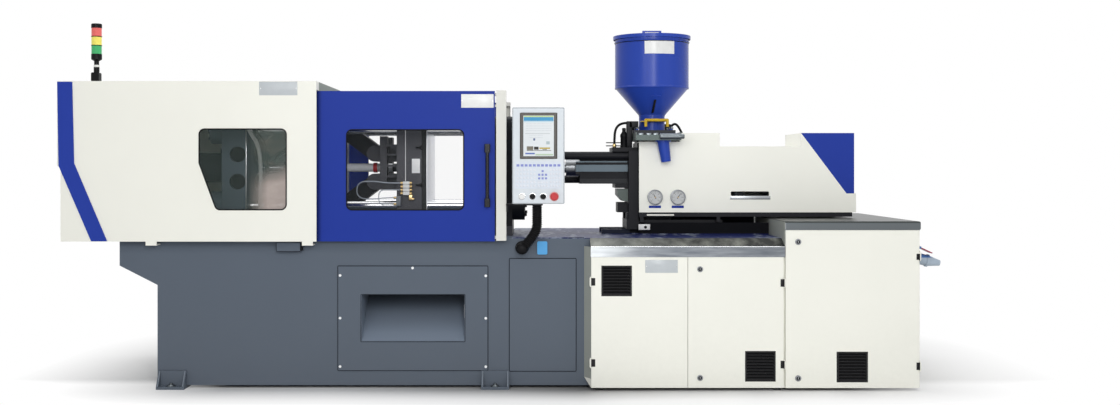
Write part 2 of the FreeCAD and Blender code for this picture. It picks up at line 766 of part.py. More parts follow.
def discharge_bore():
    """Slanting hole through the hopper's slide bed, from the hopper's line to the discharge tube."""
    low, high = V(discharge_x, discharge_y, throat_top), V(feed_x, discharge_y, throat_top + slide_plate)
    return bar_between(low + (low - high) * 0.4, high + (high - low) * 0.4, discharge_bore_r)


def carriage():
    """Slide, front housing, throat block, hopper slide bed, beams and the fixed cylinders."""
    slab_top = bed_top + 54
    low = slab_top - 10
    near, far = centre_y - 170, centre_y + 170
    slab = box(3039, 3580, near, far, bed_top + seat_gap, slab_top)
    plate = box(housing_left, housing_right, near, far, low, barrel_guard_top + 4)
    shelf = box(2960, housing_right, near + 30, far - 30, barrel_guard_top, barrel_guard_top + 24)
    ledge = box(2977, housing_left, near + 40, far - 40, barrel_guard_bottom - 24, barrel_guard_bottom - 1)
    foot_z = axis_height - 190
    nose = prism_y([(2990, foot_z + 68), (2990, foot_z + 33), (3020, foot_z), (3060, foot_z),
                    (3060, foot_z + 68)], near + 40, far - 80)
    block = box(2992, housing_left, near + 70, far - 120, axis_height - 255, axis_height - 199)
    columns = [box(3039, 3102, y, y + 60, bed_top + seat_gap, cover_bottom - 7)
               for y in (near + 20, far - 80)]
    throat = box(housing_right, throat_right, centre_y - throat_half, centre_y + throat_half,
                 axis_height - 115, throat_top)
    pedestal = box(housing_right, throat_right - 30, near + 80, far - 80, low, axis_height - 105)
    webs = [box(x, x + 20, cover_front, cover_back, low, cover_bottom) for x in (3110, 3540)]
    beams = [box(housing_right, cover_right - 22, y, y + 40, cover_bottom - 24, cover_bottom)
             for y in (cover_front, cover_back - 40)]
    bed = box(slide_left, slide_right, slide_front, slide_back, throat_top, throat_top + slide_plate)
    guides = [box(x, x + 5, slide_front, slide_back, throat_top + slide_plate, throat_top + slide_plate + 14)
              for x in (slide_left, slide_right - 5)]
    barrels = [bar_x(2640, housing_left + 5, y, z, traverse_r) for y, z in traverse_places()]
    rams = [bar_x(throat_right - 10, 3560, centre_y + s * cylinder_offset * 0.7, axis_height, cylinder_r)
            for s in (-1, 1)]
    body = join([slab, plate, shelf, ledge, nose, block, throat, pedestal, bed] + columns + webs + beams
                + guides + barrels + rams)
    tools = [bar_x(housing_left - 1, throat_right + 1, centre_y, axis_height, barrel_r),
             bar_z(feed_x, centre_y, axis_height, throat_top + slide_plate + 1, feed_r),
             discharge_bore()]
    tools += [bar_x(2639, 3040, y, z, traverse_rod_r + running) for y, z in traverse_places()]
    tools += [bar_x(3340, 3561, centre_y + s * cylinder_offset * 0.7, axis_height, ram_rod_r + running)
              for s in (-1, 1)]
    return cut(body, tools)


def barrel():
    """Barrel with its heater bands and the nozzle, bored for the screw."""
    tube = bar_x(barrel_left, throat_right, centre_y, axis_height, barrel_r)
    bands = [bar_x(x, x + 70, centre_y, axis_height, band_r) for x in (2790, 2875, 2960)]
    adaptor = bar_x(barrel_left - 45, barrel_left, centre_y, axis_height, 30)
    stem = bar_x(nozzle_tip + 30, barrel_left - 40, centre_y, axis_height, nozzle_r)
    tip = Part.makeCone(6, nozzle_r, 30, V(nozzle_tip, centre_y, axis_height), V(1, 0, 0))
    bores = [bar_x(barrel_left + 10, throat_right + 1, centre_y, axis_height, screw_r + running),
             bar_x(nozzle_tip - 1, barrel_left + 20, centre_y, axis_height, 3),
             bar_z(feed_x, centre_y, axis_height, axis_height + barrel_r + 1, feed_r)]
    feed = bores.pop()
    feed = feed.cut(bar_x(feed_x - 60, feed_x + 60, centre_y, axis_height, screw_r))
    return cut(join([tube, adaptor, stem, tip] + bands), bores + [feed])


def barrel_guard():
    """Folded sheet round the barrel, with ribs along its front and an end plate."""
    front, back = centre_y - barrel_guard_half, centre_y + barrel_guard_half
    outer = box(2777, housing_left, front, back, barrel_guard_bottom, barrel_guard_top)
    inner = box(2770, housing_left + 1, front + 2, back - 2, barrel_guard_bottom + 2, barrel_guard_top - 2)
    shell = outer.cut(inner)
    end = box(2754, 2779, front - 6, back + 6, 1136, 1210).cut(
        box(2753, 2780, front + 2, back - 2, 1100, 1250))
    ribs = []
    for z0, z1, out in ((1152, 1190, 10), (1205, 1211, 5), (1138, 1143, 5), (1083, 1108, 8)):
        ribs.append(box(2777, housing_left, front - out, front + 1, z0, z1))
    return join([shell, end] + ribs)


def injection_cover():
    """Folded sheet cover, open at the bottom and at the housing end."""
    shell = prism_y(cover_outline, cover_front, cover_back)
    inner = inset(cover_outline, sheet)
    shell = shell.cut(prism_y(inner, cover_front + sheet, cover_back - sheet))
    openings = [box(cover_left - 1, cover_right - sheet, cover_front + sheet, cover_back - sheet,
                    cover_bottom - 1, cover_bottom + sheet + 1),
                box(cover_left - 1, cover_left + sheet + 1, cover_front + sheet, cover_back - sheet,
                    cover_bottom - 1, cover_step - sheet),
                box(cover_left - 1, throat_right + seat_gap, centre_y - throat_half - seat_gap,
                    centre_y + throat_half + seat_gap, cover_step - 10, cover_step + 5)]
    slot = rounded_y(slot_left, slot_right, cover_front - 1, cover_front + sheet + 1, slot_bottom, slot_top,
                     5)
    return cut(shell, openings + [slot])


def cover_wedge():
    """Blue end cap that fills the cover's sloping end, hollow inside."""
    outline = [(wedge_left, cover_top), (wedge_right, cover_top), (wedge_right, wedge_bottom),
               (wedge_foot, wedge_bottom)]
    lean = (wedge_foot - wedge_left) / (cover_top - wedge_bottom)
    inside = [(wedge_left + lean * sheet, cover_top - sheet), (wedge_right - sheet, cover_top - sheet),
              (wedge_right - sheet, wedge_bottom + sheet), (wedge_foot - lean * sheet, wedge_bottom + sheet)]
    shell = prism_y(outline, cover_front, cover_back)
    return shell.cut(prism_y(inside, cover_front + sheet, cover_back - sheet))


def gauges():
    """Two pressure gauges with a raised rim, and the scale strip under the slot."""
    parts = []
    for x in gauge_xs:
        case = bar_y(x, cover_front - gauge_depth, cover_front, gauge_height, gauge_r)
        dish = bar_y(x, cover_front - gauge_depth - 1, cover_front - gauge_depth + 6, gauge_height,
                     gauge_r - 5)
        needle = box(x - 1.5, x + 1.5, cover_front - gauge_depth + 3, cover_front - gauge_depth + 6.5,
                     gauge_height - 6, gauge_height + 28)
        hub = bar_y(x, cover_front - gauge_depth + 2, cover_front - gauge_depth + 6.5, gauge_height, 4)
        parts.append(join([case.cut(dish), needle, hub]))
    parts.append(box(3615, 3841, cover_front - 2, cover_front, 996, 1016))
    return group(parts)


def injection_ram():
    """Moving plate with the cylinder rods, the hydraulic motor and the position pointer."""
    plate = box(ram_left, ram_left + ram_thick, 400, 740, 1000, 1280)
    rods = [bar_x(3350, ram_left, centre_y + s * cylinder_offset * 0.7, axis_height, ram_rod_r)
            for s in (-1, 1)]
    motor = bar_x(ram_left + ram_thick, 3860, centre_y, axis_height, motor_r)
    ports = [bar_y(3790, centre_y - motor_r - 22, centre_y - motor_r + 10, axis_height + z, 14)
             for z in (-24, 24)]
    pointer = box(3645, 3655, cover_front + sheet + 3, 401, 1024, 1034)
    body = join([plate, motor, pointer] + rods + ports)
    return body.cut(bar_x(ram_left - 1, ram_left + ram_thick - 5, centre_y, axis_height, 25 + running))


def screw():
    tip = Part.makeCone(2, screw_r, 40, V(barrel_left + 20, centre_y, axis_height), V(1, 0, 0))
    shaft = bar_x(barrel_left + 60, ram_left - 20, centre_y, axis_height, screw_r)
    journal = bar_x(ram_left - 20, ram_left + ram_thick - 5.3, centre_y, axis_height, 25)
    return join([tip, shaft, journal])


def throat_hose():
    """Bottle-shaped valve, coolant block with two pins, and the arched hose over them."""
    valve = join([bar_z(3031, 500, 1290, 1368, 22), Part.makeCone(22, 11, 14, V(3031, 500, 1368)),
                  bar_z(3031, 500, 1382, 1402, 11)])
    block = join([box(3045, 3077, 470, 530, 1290, 1440), box(3045, 3112, 470, 530, 1400, 1440)])
    pins = [bar_x(2928, 3046, 515, z, 3) for z in (1300, 1318)]
    hose = smooth_tube([V(2975, 480, 1290), V(2975, 480, 1340), V(2980, 480, 1395), V(3008, 480, 1428),
                        V(3045, 480, 1430)], 7.0, 60)
    return group([valve, join([block] + pins), hose])


# ---- hopper -----------------------------------------------------------------------------
def hopper():
    """Foot flange, neck, cone and bowl turned in one, with a rolled rim."""
    w = sheet
    profile = [(outlet_r, neck_floor), (neck_r - w, neck_floor), (neck_r - w, cone_bottom),
               (bowl_r - w, bowl_bottom),
               (bowl_r - w, bowl_top), (bowl_r, bowl_top), (bowl_r, bowl_bottom), (neck_r, cone_bottom),
               (neck_r, neck_floor - hopper_flange / 2), (outlet_r, neck_floor - hopper_flange / 2)]
    wire = Part.makePolygon([V(feed_x + r, centre_y, z) for r, z in profile + profile[:1]])
    body = Part.Face(wire).revolve(V(feed_x, centre_y, 0), V(0, 0, 1), 360)
    rim = Part.makeTorus(bowl_r + 1, 4, V(feed_x, centre_y, bowl_top - 30))
    flange = box(slide_left + 5 + seat_gap, slide_right - 5 - seat_gap, 460, 680,
                 throat_top + slide_plate + seat_gap, neck_floor)
    bolts = [bar_z(x, y, neck_floor, neck_floor + 8, 8) for x in (3105, 3302) for y in (480, 570, 660)]
    outlet = bar_z(feed_x, centre_y, throat_top, neck_floor + 1, outlet_r)
    slot = box(feed_x - gate_half - seat_gap, feed_x + gate_half + seat_gap, centre_y - neck_r - 5, centre_y,
               gate_level, gate_level + gate_thick + 2 * seat_gap)
    return cut(join([body, rim, flange] + bolts), [outlet, slot])


def slide_gate():
    """Shut-off plate through the neck, with a bent bar as its handle."""
    z0 = gate_level + seat_gap
    plate = join([box(feed_x - gate_half, feed_x + gate_half, gate_front, centre_y, z0, z0 + gate_thick),
                  bar_z(feed_x, centre_y, z0, z0 + gate_thick, gate_half)])
    level = z0 + gate_bar_r
    bar = bar_x(gate_bar_xs[0], gate_bar_xs[1], gate_front, level, gate_bar_r)
    ends = [bar_z(x, gate_front, gate_level - gate_bar_drop, level, gate_bar_r) for x in gate_bar_xs]
    knobs = [Part.makeSphere(gate_bar_r, V(x, gate_front, level)) for x in gate_bar_xs]
    return join([plate, bar] + ends + knobs)


def hopper_lid():
    top = Part.makeCone(bowl_r + 11, 20, lid_height - 6, V(feed_x, centre_y, bowl_top + 6))
    disc = bar_z(feed_x, centre_y, bowl_top, bowl_top + 6, bowl_r + 11)
    skirt = bar_z(feed_x, centre_y, bowl_top - 14, bowl_top, bowl_r + 11).cut(
        bar_z(feed_x, centre_y, bowl_top - 15, bowl_top + 1, bowl_r + 8))
    grip = box(3142, 3252, centre_y - 7, centre_y + 7, bowl_top + 6, 1966).cut(
        box(3157, 3237, centre_y - 8, centre_y + 8, bowl_top + lid_height + 2, 1958))
    return join([disc, top, skirt, grip])


def discharge_tube():
    top = V(discharge_x, discharge_y, throat_top)
    bottom = V(3252, discharge_y, 1207)
    run = bottom - top
    outer = Part.makeCone(discharge_r, discharge_r - 9, run.Length * 1.3, top - run * 0.3, run)
    inner = Part.makeCone(discharge_r - sheet, discharge_r - 9 - sheet, run.Length * 1.3, top - run * 0.3,
                          run)
    tube = outer.cut(inner)
    collar = bar_z(discharge_x, discharge_y, throat_top - 8, throat_top, 44).cut(
        bar_z(discharge_x, discharge_y, throat_top - 9, throat_top + 1, discharge_r - sheet))
    trimmed = tube.common(box(3100, 3400, 200, 400, 1190, throat_top))
    return join([trimmed, collar]).removeSplitter()


# ---- control panel ----------------------------------------------------------------------
def panel_housing():
    outer = round_edges(box(panel_left, panel_right, panel_front, panel_back, panel_bottom, panel_top), 6,
                        V(0, 1, 0))
    inner = box(panel_left + panel_wall, panel_right - panel_wall, panel_front + panel_wall,
                panel_back - panel_wall, panel_bottom + panel_wall, panel_top - panel_wall)
    frame = box(screen_left - bezel - 4, screen_right + bezel + 4, panel_front - 3, panel_front + 1,
                screen_bottom - bezel, screen_top + bezel)
    keypad = box(2418, 2660, panel_front - 1, panel_front + 1, button_height + 41, screen_bottom - bezel - 14)
    window = box(screen_left, screen_right, panel_front - 4, panel_front + 1.5, screen_bottom, screen_top)
    body = cut(join([outer.cut(inner), frame, keypad]), [window])
    holes = [bar_y(x, panel_front - 2, panel_front + panel_wall + 1, button_height, button_stem_r + running)
             for x in button_xs]
    boss_hole = bar_z(swivel_x, swivel_y, panel_bottom - 1, panel_bottom + panel_wall + 1, boss_r + running)
    return cut(body, holes + [boss_hole])


def panel_screen():
    return box(screen_left, screen_right, panel_front - 1.5, panel_front + 1.5, screen_bottom, screen_top)


def push_button(index, cap_r, gap, cap):
    """Cap, stem through the panel wall and a keeper behind it."""
    x = button_xs[index]
    face = panel_front - gap
    stem = bar_y(x, face - 1, panel_front + panel_wall + 8, button_height, button_stem_r)
    head = bar_y(x, face - cap, face, button_height, cap_r)
    keeper = bar_y(x, panel_front + panel_wall + seat_gap, panel_front + panel_wall + 6, button_height,
                   button_stem_r + 3)
    return join([stem, head, keeper])


def selector(index):
    """Turning knob with a raised grip across it."""
    knob = push_button(index, button_r, seat_gap, 8)
    x = button_xs[index]
    grip = box(x - 4, x + 4, panel_front - 18, panel_front - 7, button_height - 13, button_height + 13)
    return join([knob, grip])


def emergency_stop():
    body = push_button(3, 11, 7, 6)
    head = bar_y(button_xs[3], panel_front - 24, panel_front - 12, button_height, estop_r)
    head = head.makeFillet(4, [e for e in head.Edges if abs(e.CenterOfMass.y - head.BoundBox.YMin) < 0.01])
    return join([body, head])


def panel_bracket():
    """Arm from the door post with the hollow swivel boss, and the conduit's gland on the base."""
    arm_top = panel_bottom - seat_gap
    arm = box(post_right, swivel_x + boss_r, -112, -20, arm_top - 8, arm_top)
    boss = bar_z(swivel_x, swivel_y, arm_top - 8, arm_top + 28, boss_r)
    tie = box(post_right, post_right + 8, -60, -10, arm_top - 44, arm_top)
    bores = [bar_z(swivel_x, swivel_y, arm_top - 14, conduit_top, boss_bore_r),
             bar_z(swivel_x, swivel_y, arm_top - 14, arm_top + 36, conduit_bore_r)]
    swivel = cut(join([arm, boss, tie]), bores)
    ball = Part.makeSphere(gland_r, V(gland_x, swivel_y, gland_z))
    stub = bar_y(gland_x, swivel_y, 0, gland_z, 24)
    flange = bar_y(gland_x, -8, 0, gland_z, 36)
    mouth = V(gland_x, swivel_y, gland_z) + V(1, 0, 1).normalize() * gland_mouth
    tool = Part.makeCylinder(60, 60, mouth, V(1, 0, 1))
    return group([swivel, join([ball, stub, flange]).cut(tool)])


def conduit_stations():
    """Points along the conduit, each with its distance and direction: straight, one arc, straight."""
    diagonal = V(-1, 0, -1).normalize()
    mouth = V(gland_x, swivel_y, gland_z) - diagonal * gland_mouth
    corner_z = gland_z + (swivel_x - gland_x)
    reach = conduit_bend_r * math.tan(math.pi / 8)
    top = V(swivel_x, swivel_y, conduit_top)
    first = top.z - (corner_z + reach)
    arc = conduit_bend_r * math.pi / 4
    bend_end = V(swivel_x, swivel_y, corner_z) + diagonal * reach
    last = (mouth - bend_end).Length

    def at(s):
        if s <= first:
            return V(swivel_x, swivel_y, top.z - s), V(0, 0, -1)
        if s <= first + arc:
            turn = (s - first) / conduit_bend_r
            centre_x = swivel_x - conduit_bend_r
            place = V(centre_x + conduit_bend_r * math.cos(turn), swivel_y,
                      corner_z + reach - conduit_bend_r * math.sin(turn))
            return place, V(-math.sin(turn), 0, -math.cos(turn))
        return bend_end + diagonal * (s - first - arc), diagonal

    return at, first + arc + last


def ring_wire(place, direction, r):
    """A circle square to the direction, its own X axis always along the machine's Y."""
    circle = Part.Circle(place, direction, r)
    circle.XAxis = V(0, 1, 0)
    return Part.Wire(circle.toShape())


def conduit():
    """Ribbed hose: each rib is four circles of a ruled loft, and the bore follows the same line."""
    at, length = conduit_stations()
    ribs = int((length - 2 * conduit_r) / rib_pitch)
    start = (length - ribs * rib_pitch) / 2
    outer = [ring_wire(*at(0), conduit_valley_r)]
    for i in range(ribs):
        for share, r in ((0.0, conduit_valley_r), (0.2, conduit_r), (0.6, conduit_r),
                         (0.8, conduit_valley_r)):
            outer.append(ring_wire(*at(start + (i + share) * rib_pitch), r))
    outer.append(ring_wire(*at(length), conduit_valley_r))
    steps = 24
    inner = [ring_wire(*at(length * i / steps), conduit_bore_r) for i in range(steps + 1)]
    print("conduit length", round(length, 1), "ribs", ribs)
    return Part.makeLoft(outer, True, True).cut(Part.makeLoft(inner, True, True))


# ---- cabinets ---------------------------------------------------------------------------
def grille_bars(x0, z0, y):
    """Frame and slanted slats of one square louvre, its front at y."""
    size = grille_size
    frame = box(x0, x0 + size, y, y + 12, z0, z0 + size).cut(
        box(x0 + 9, x0 + size - 9, y - 1, y + 13, z0 + 9, z0 + size - 9))
    slats = []
    pitch = (size - 18) / slat_count
    for i in range(slat_count):
        z = z0 + 9 + i * pitch
        slat = [(y + 1, z + 1), (y + 11, z + pitch - 4), (y + 11, z + pitch - 1.5), (y + 1, z + 3.5)]
        slats.append(prism_x(slat, x0 + 8, x0 + size - 8))
    return [frame] + slats


def door_pan(x0, x1, z0, z1, front):
    """Pressed door: front skin with a return all round, open at the back."""
    outer = box(x0, x1, front, front + door_thick - seat_gap, z0, z1)
    return outer.cut(box(x0 + door_skin, x1 - door_skin, front + door_skin, front + door_thick,
                         z0 + door_skin, z1 - door_skin))


def lock_head(x, z, front):
    head = bar_y(x, front - 4, front + 1, z, lock_r)
    stem = bar_y(x, front, front + door_thick - 1, z, 8)
    return [head, stem]


def hinge_leaf(x, side, z, front):
    """Knuckle and leaf on the door: side is +1 where the door lies to the right of the axis."""
    y = front - 6
    knuckle = bar_z(x, y, z - knuckle_height / 2, z + knuckle_height / 2, knuckle_r)
    leaf = box(min(x, x + side * 30), max(x, x + side * 30), front - 3, front, z - knuckle_height / 2,
               z + knuckle_height / 2)
    return join([knuckle, leaf])


def hinge_bore(x, z, front):
    return bar_z(x, front - 6, z - knuckle_height, z + knuckle_height, hinge_pin_r + running)


def hinge_arm(x, z, front, back):
    """Pin held by an arm above and below the knuckle."""
    y = front - 6
    parts = [bar_z(x, y, z - knuckle_height / 2 - 6, z + knuckle_height / 2 + 6, hinge_pin_r)]
    for z0 in (z - knuckle_height / 2 - 6, z + knuckle_height / 2 + seat_gap):
        parts.append(box(x - 2.5, x + 2.5, y - 3, back, z0, z0 + 6 - seat_gap))
    return join(parts)


hinge_sets = {
    "low_left": (low_left - 4, 1, low_front, (574, 147)),
    "low_right": (low_right - 3.2, -1, low_front, (568, 139)),
    "tall": (tall_right - 4.5, -1, tall_front, (710, 130)),
}


def hinged_door(name, x0, x1, z0, z1, front, grille_place, locks):
    x, side, _, heights = hinge_sets[name]
    parts = [door_pan(x0, x1, z0, z1, front)]
    if grille_place:
        gx, gz = grille_place
        parts[0] = parts[0].cut(box(gx + 1, gx + grille_size - 1, front - 1, front + 5, gz + 1,
                                    gz + grille_size - 1))
        parts += grille_bars(gx, gz, front - 1)
    for lx, lz in locks:
        parts += lock_head(lx, lz, front)
    parts += [hinge_leaf(x, side, z, front) for z in heights]
    return cut(join(parts), [hinge_bore(x, z, front) for z in heights])


def low_door_left():
    return hinged_door("low_left", low_left, low_split - 1.5, low_door_bottom, low_door_top, low_front,
                       (2870, 498), [])


def low_door_right():
    return hinged_door("low_right", low_split + 1.5, low_right - 7, low_door_bottom, low_door_top, low_front,
                       (3626, 49), [(3389, 640), (3389, 69)])


def tall_door():
    return hinged_door("tall", low_right + 3, tall_right - 9, low_door_bottom, tall_door_top, tall_front,
                       ((low_right + tall_right - 6 - grille_size) / 2, 46), [(3904, 784), (3904, 67)])


def switchgear():
    """Mounting plate across the low bay, with rows of contactors on it."""
    plate = box(rib_lefts[2] + base_wall, base_right - base_wall, 300, 304, 100, 660)
    units = []
    for row in range(3):
        for column in range(7):
            x = 2860 + 130 * column
            units.append(box(x, x + 90, 230, 300, 160 + 170 * row, 260 + 170 * row))
    return join([plate] + units)


def low_cabinet():
    """Frame behind the low doors with a slanted left return, floor and head plates, and the switchgear."""
    front = low_front + door_thick
    head = box(low_left, low_right, -92, 0, 704, 707)
    floor = box(low_left, low_right, front, 0, cabinet_bottom, cabinet_bottom + sheet)
    face = box(low_left, low_right, front, front + sheet, cabinet_bottom, 704)
    face = cut(face, [box(2850, 3300, front - 1, front + sheet + 1, 60, 680),
                      box(3350, 3805, front - 1, front + sheet + 1, 60, 680)])
    side = prism_z([(low_left, front), (low_left + 3, front), (2786, 0), (2783, 0)], cabinet_bottom, 756)
    side = side.cut(prism_x([(-80, 0), (1, 0), (1, 61), (-68, cabinet_bottom)], 2700, 2850))
    end = box(low_right - sheet, low_right, front, 0, cabinet_bottom, 704)
    feet = [box(x, x + 40, front + 10, front + 50, 0, cabinet_bottom) for x in (2840, 3780)]
    arms = []
    for name in ("low_left", "low_right"):
        x, _, _, heights = hinge_sets[name]
        arms += [hinge_arm(x, z, low_front, front + 2) for z in heights]
    for z in hinge_sets["low_left"][3]:
        for z0 in (z - 26, z + 20.3):
            arms.append(box(low_left - 6.5, low_left + 1, front + seat_gap, front + 4, z0, z0 + 5.7))
    for z in hinge_sets["low_right"][3]:
        for z0 in (z - 26, z + 20.3):
            arms.append(box(low_right - 5.7, low_right, front + seat_gap, front + 4, z0, z0 + 5.7))
    return group([join([head, floor, face, side, end] + feet + arms), switchgear()])


def cabinet_tops():
    """Stainless cover plates: a sloping one over the low doors, a flat cap over the tall cabinet."""
    profile = [(-95, 704), (-95, 759), (0, deck_top), (0, base_top), (-92, 757), (-92, 704)]
    slope = prism_x(profile, low_left - 3, low_right)
    cap = round_edges(box(low_right, tall_right, -98, base_depth, 846, tall_top), 10, V(0, 1, 0))
    keep = box(low_right, low_right + 30, -98, base_depth, 846, tall_top)
    cap = join([cap, keep])
    cap = cap.cut(box(low_right - 1, tall_right + 1, -95, base_depth + 1, 840, tall_top - sheet))
    lip = box(low_right, tall_right - 5, -97, -78, 846, 848)
    return group([slope, join([cap, lip])])


def tall_cabinet():
    back_face = tall_front + door_thick
    shell = box(low_right, tall_right, back_face, base_depth, cabinet_bottom, tall_top - sheet).cut(
        box(low_right + sheet, tall_right - sheet, back_face + sheet, base_depth - sheet,
            cabinet_bottom + sheet, tall_top))
    doorway = box(low_right + 34, tall_right - 33, back_face - 1, back_face + sheet + 1, 50, 800)
    header = box(low_right + sheet, tall_right - sheet, -78, back_face, 848, tall_top - sheet)
    feet = [box(x, x + 60, y, y + 60, 0, cabinet_bottom) for x in (low_right + 24, tall_right - 88)
            for y in (0, base_depth - 90)]
    x, _, _, heights = hinge_sets["tall"]
    arms = [hinge_arm(x, z, tall_front, back_face + 3) for z in heights]
    plate = box(low_right + sheet, tall_right - sheet, 1100, 1104, cabinet_bottom + sheet, 700)
    return join([shell.cut(doorway), header, plate] + feet + arms)


def pump_unit():
    """Electric motor and pump on a cross beam between two ribs of the base."""
    beam = box(rib_lefts[1] + base_wall, rib_lefts[2], 400, 640, 40, 62)
    feet = box(2420, 2600, 450, 590, 60, 100)
    motor = bar_x(2400, 2620, 520, 200, 115)
    pump = bar_x(2620, 2740, 520, 200, 70)
    fins = [bar_x(2415 + 24 * i, 2421 + 24 * i, 520, 200, 122) for i in range(8)]
    return join([beam, feet, motor, pump] + fins)


lid_axis = (tall_right + 42.0, 746.0)


def end_sockets():
    """Outlet box on the right end with a slanted blue socket and the grey plug in it."""
    back = box(tall_right, tall_right + 34, 40, 150, 628, 742)
    start, middle = V(tall_right + 24, 95, 689), V(tall_right + 96, 95, 671)
    end = V(tall_right + 160, 95, 659)
    sleeve = bar_between(start, middle, 30)
    collar = bar_between(middle + (start - middle) * 0.15, middle, 34)
    direction = end - middle
    plug = Part.makeCone(29, 15, direction.Length, middle, direction)
    return join([back, sleeve, collar, plug])


def socket_lid():
    """Spring lid above the socket, on a pin across its back edge."""
    x, z = lid_axis
    flap = prism_y([(x + 4, z - 4), (x + 68, z - 34), (x + 70, z - 29), (x + 4, z + 2)], 60, 130)
    knuckle = bar_y(x, 60, 130, z, 7)
    web = prism_y([(x - 2, z - 6), (x + 8, z - 7), (x + 8, z + 3), (x, z + 6)], 60, 130)
    return join([flap, knuckle, web]).cut(bar_y(x, 40, 150, z, 3 + running))


def socket_hinge():
    x, z = lid_axis
    parts = [bar_y(x, 45, 145, z, 3)]
    for y in (45, 135):
        parts.append(box(tall_right + 20, x + 5, y, y + 10, z - 6, z + 5))
        parts.append(box(tall_right + 20, tall_right + 34, y, y + 10, z - 20, z - 5))
    return join(parts)


nodes = {
    "base_frame": base_frame(),
    "front_panels": front_panels(),
    "deck_tray": deck_tray(),
    "guard_front": guard_front(),
    "guard_wrap": guard_wrap(),
    "stripe_panel": stripe_panel(),
    "guard_window": guard_window(),
    "door_frame": door_frame(),
    "safety_door": door_leaf(pane_left, pane_bottom, pane_top),
    "safety_door_window": door_pane(pane_left, pane_bottom, pane_top),
    "safety_door_handle": door_handle(),
    "rear_door": rear_door(),
    "rear_door_window": mirrored(door_pane(rear_pane_left, rear_pane_bottom, rear_pane_top)),
    "stack_light_body": stack_light_body(),
    "lens_green": lens(0),
    "lens_yellow": lens(1),
    "lens_red": lens(2),
    "fixed_platen": fixed_platen(),
    "tail_platen": tail_platen(),
    "moving_platen": moving_platen(),
    "ejector_rod": ejector_rod(),
    "tie_bars": tie_bars(),
    "clamp_cylinder": clamp_cylinder(),
    "crosshead": crosshead(),
    "rear_link_upper": rear_link(),
    "rear_link_lower": below(rear_link()),
    "front_link_upper": front_link(),
    "front_link_lower": below(front_link()),
    "water_manifold": water_manifold(),
    "water_hoses": water_hoses(),
    "carriage": carriage(),
    "barrel": barrel(),
    "barrel_guard": barrel_guard(),
    "injection_cover": injection_cover(),
    "cover_wedge": cover_wedge(),
    "gauges": gauges(),
    "injection_ram": injection_ram(),
    "screw": screw(),
    "throat_hose": throat_hose(),
    "hopper": hopper(),
    "hopper_lid": hopper_lid(),
    "slide_gate": slide_gate(),
    "discharge_tube": discharge_tube(),
    "panel_housing": panel_housing(),
    "panel_screen": panel_screen(),
    "push_button": push_button(0, button_r, 5, 5),
    "selector_left": selector(1),
    "selector_right": selector(2),
    "emergency_stop": emergency_stop(),
    "panel_bracket": panel_bracket(),
    "conduit": conduit(),
    "low_cabinet": low_cabinet(),
    "cabinet_tops": cabinet_tops(),
    "tall_cabinet": tall_cabinet(),
    "low_door_left": low_door_left(),
    "low_door_right": low_door_right(),
    "tall_door": tall_door(),
    "pump_unit": pump_unit(),
    "end_sockets": join([end_sockets(), socket_hinge()]),
    "socket_lid": socket_lid(),
}

# The frame's origin is the middle of the whole machine's footprint, on the floor.
whole = FreeCAD.BoundBox()
for shape in nodes.values():
    whole.add(shape.BoundBox)
origin_shift = V(-(whole.XMin + whole.XMax) / 2, -(whole.YMin + whole.YMax) / 2, -whole.ZMin)

os.makedirs("parts", exist_ok=True)
for name, shape in nodes.items():
    placed = shape.translated(origin_shift)
    placed.exportStep("parts/" + name + ".step")
print("size", whole.XLength, whole.YLength, whole.ZLength, "shift", origin_shift)
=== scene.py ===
import functools
import math
import bmesh
import bpy
import numpy as np
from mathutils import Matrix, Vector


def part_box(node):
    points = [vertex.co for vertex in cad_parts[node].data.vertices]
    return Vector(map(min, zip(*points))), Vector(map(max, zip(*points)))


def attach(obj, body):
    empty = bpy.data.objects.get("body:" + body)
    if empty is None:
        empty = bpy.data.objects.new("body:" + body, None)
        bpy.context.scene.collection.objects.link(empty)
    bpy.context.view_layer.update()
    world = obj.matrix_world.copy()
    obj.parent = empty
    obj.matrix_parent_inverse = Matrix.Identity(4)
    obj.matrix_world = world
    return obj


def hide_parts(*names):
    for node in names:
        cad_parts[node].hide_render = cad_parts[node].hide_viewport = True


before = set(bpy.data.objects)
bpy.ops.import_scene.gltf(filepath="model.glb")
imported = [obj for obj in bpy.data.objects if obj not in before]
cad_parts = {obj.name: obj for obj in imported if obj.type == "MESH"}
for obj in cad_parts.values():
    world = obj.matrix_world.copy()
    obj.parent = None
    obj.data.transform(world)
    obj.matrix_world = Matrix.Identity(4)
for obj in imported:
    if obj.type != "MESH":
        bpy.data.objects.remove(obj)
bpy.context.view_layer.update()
# Every piece is drawn in millimetres on the machine's own plan: X from the guard's left end,
# Y from the base's front face, Z from the floor. machineOrigin is that plan's zero, in metres.
baseCorner = np.array([0.307, -0.060, 0.0])
machineOrigin = np.array(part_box("base_frame")[0]) - baseCorner
print("frame loaded, plan zero at", machineOrigin.round(4))


def plan(x, y, z):
    # millimetres on the plan to metres in the scene
    return machineOrigin + np.array([x, y, z]) / 1000


def placed(name, data):
    # a new object of the scene that carries this data
    item = bpy.data.objects.new(name, data)
    bpy.context.scene.collection.objects.link(item)
    return item


def tone(red, green, blue):
    # screen colour 0-255 to the linear colour that a shader takes
    share = np.array([red, green, blue]) / 255
    linear = np.where(share < 0.04045, share / 12.92, ((share + 0.055) / 1.055) ** 2.4)
    return tuple(float(c) for c in linear) + (1.0,)


def shifted(colour, factor):
    # a darker or lighter colour: each part times the factor, and never over 1
    return tuple(min(1.0, c * factor) for c in colour[:3]) + (1.0,)


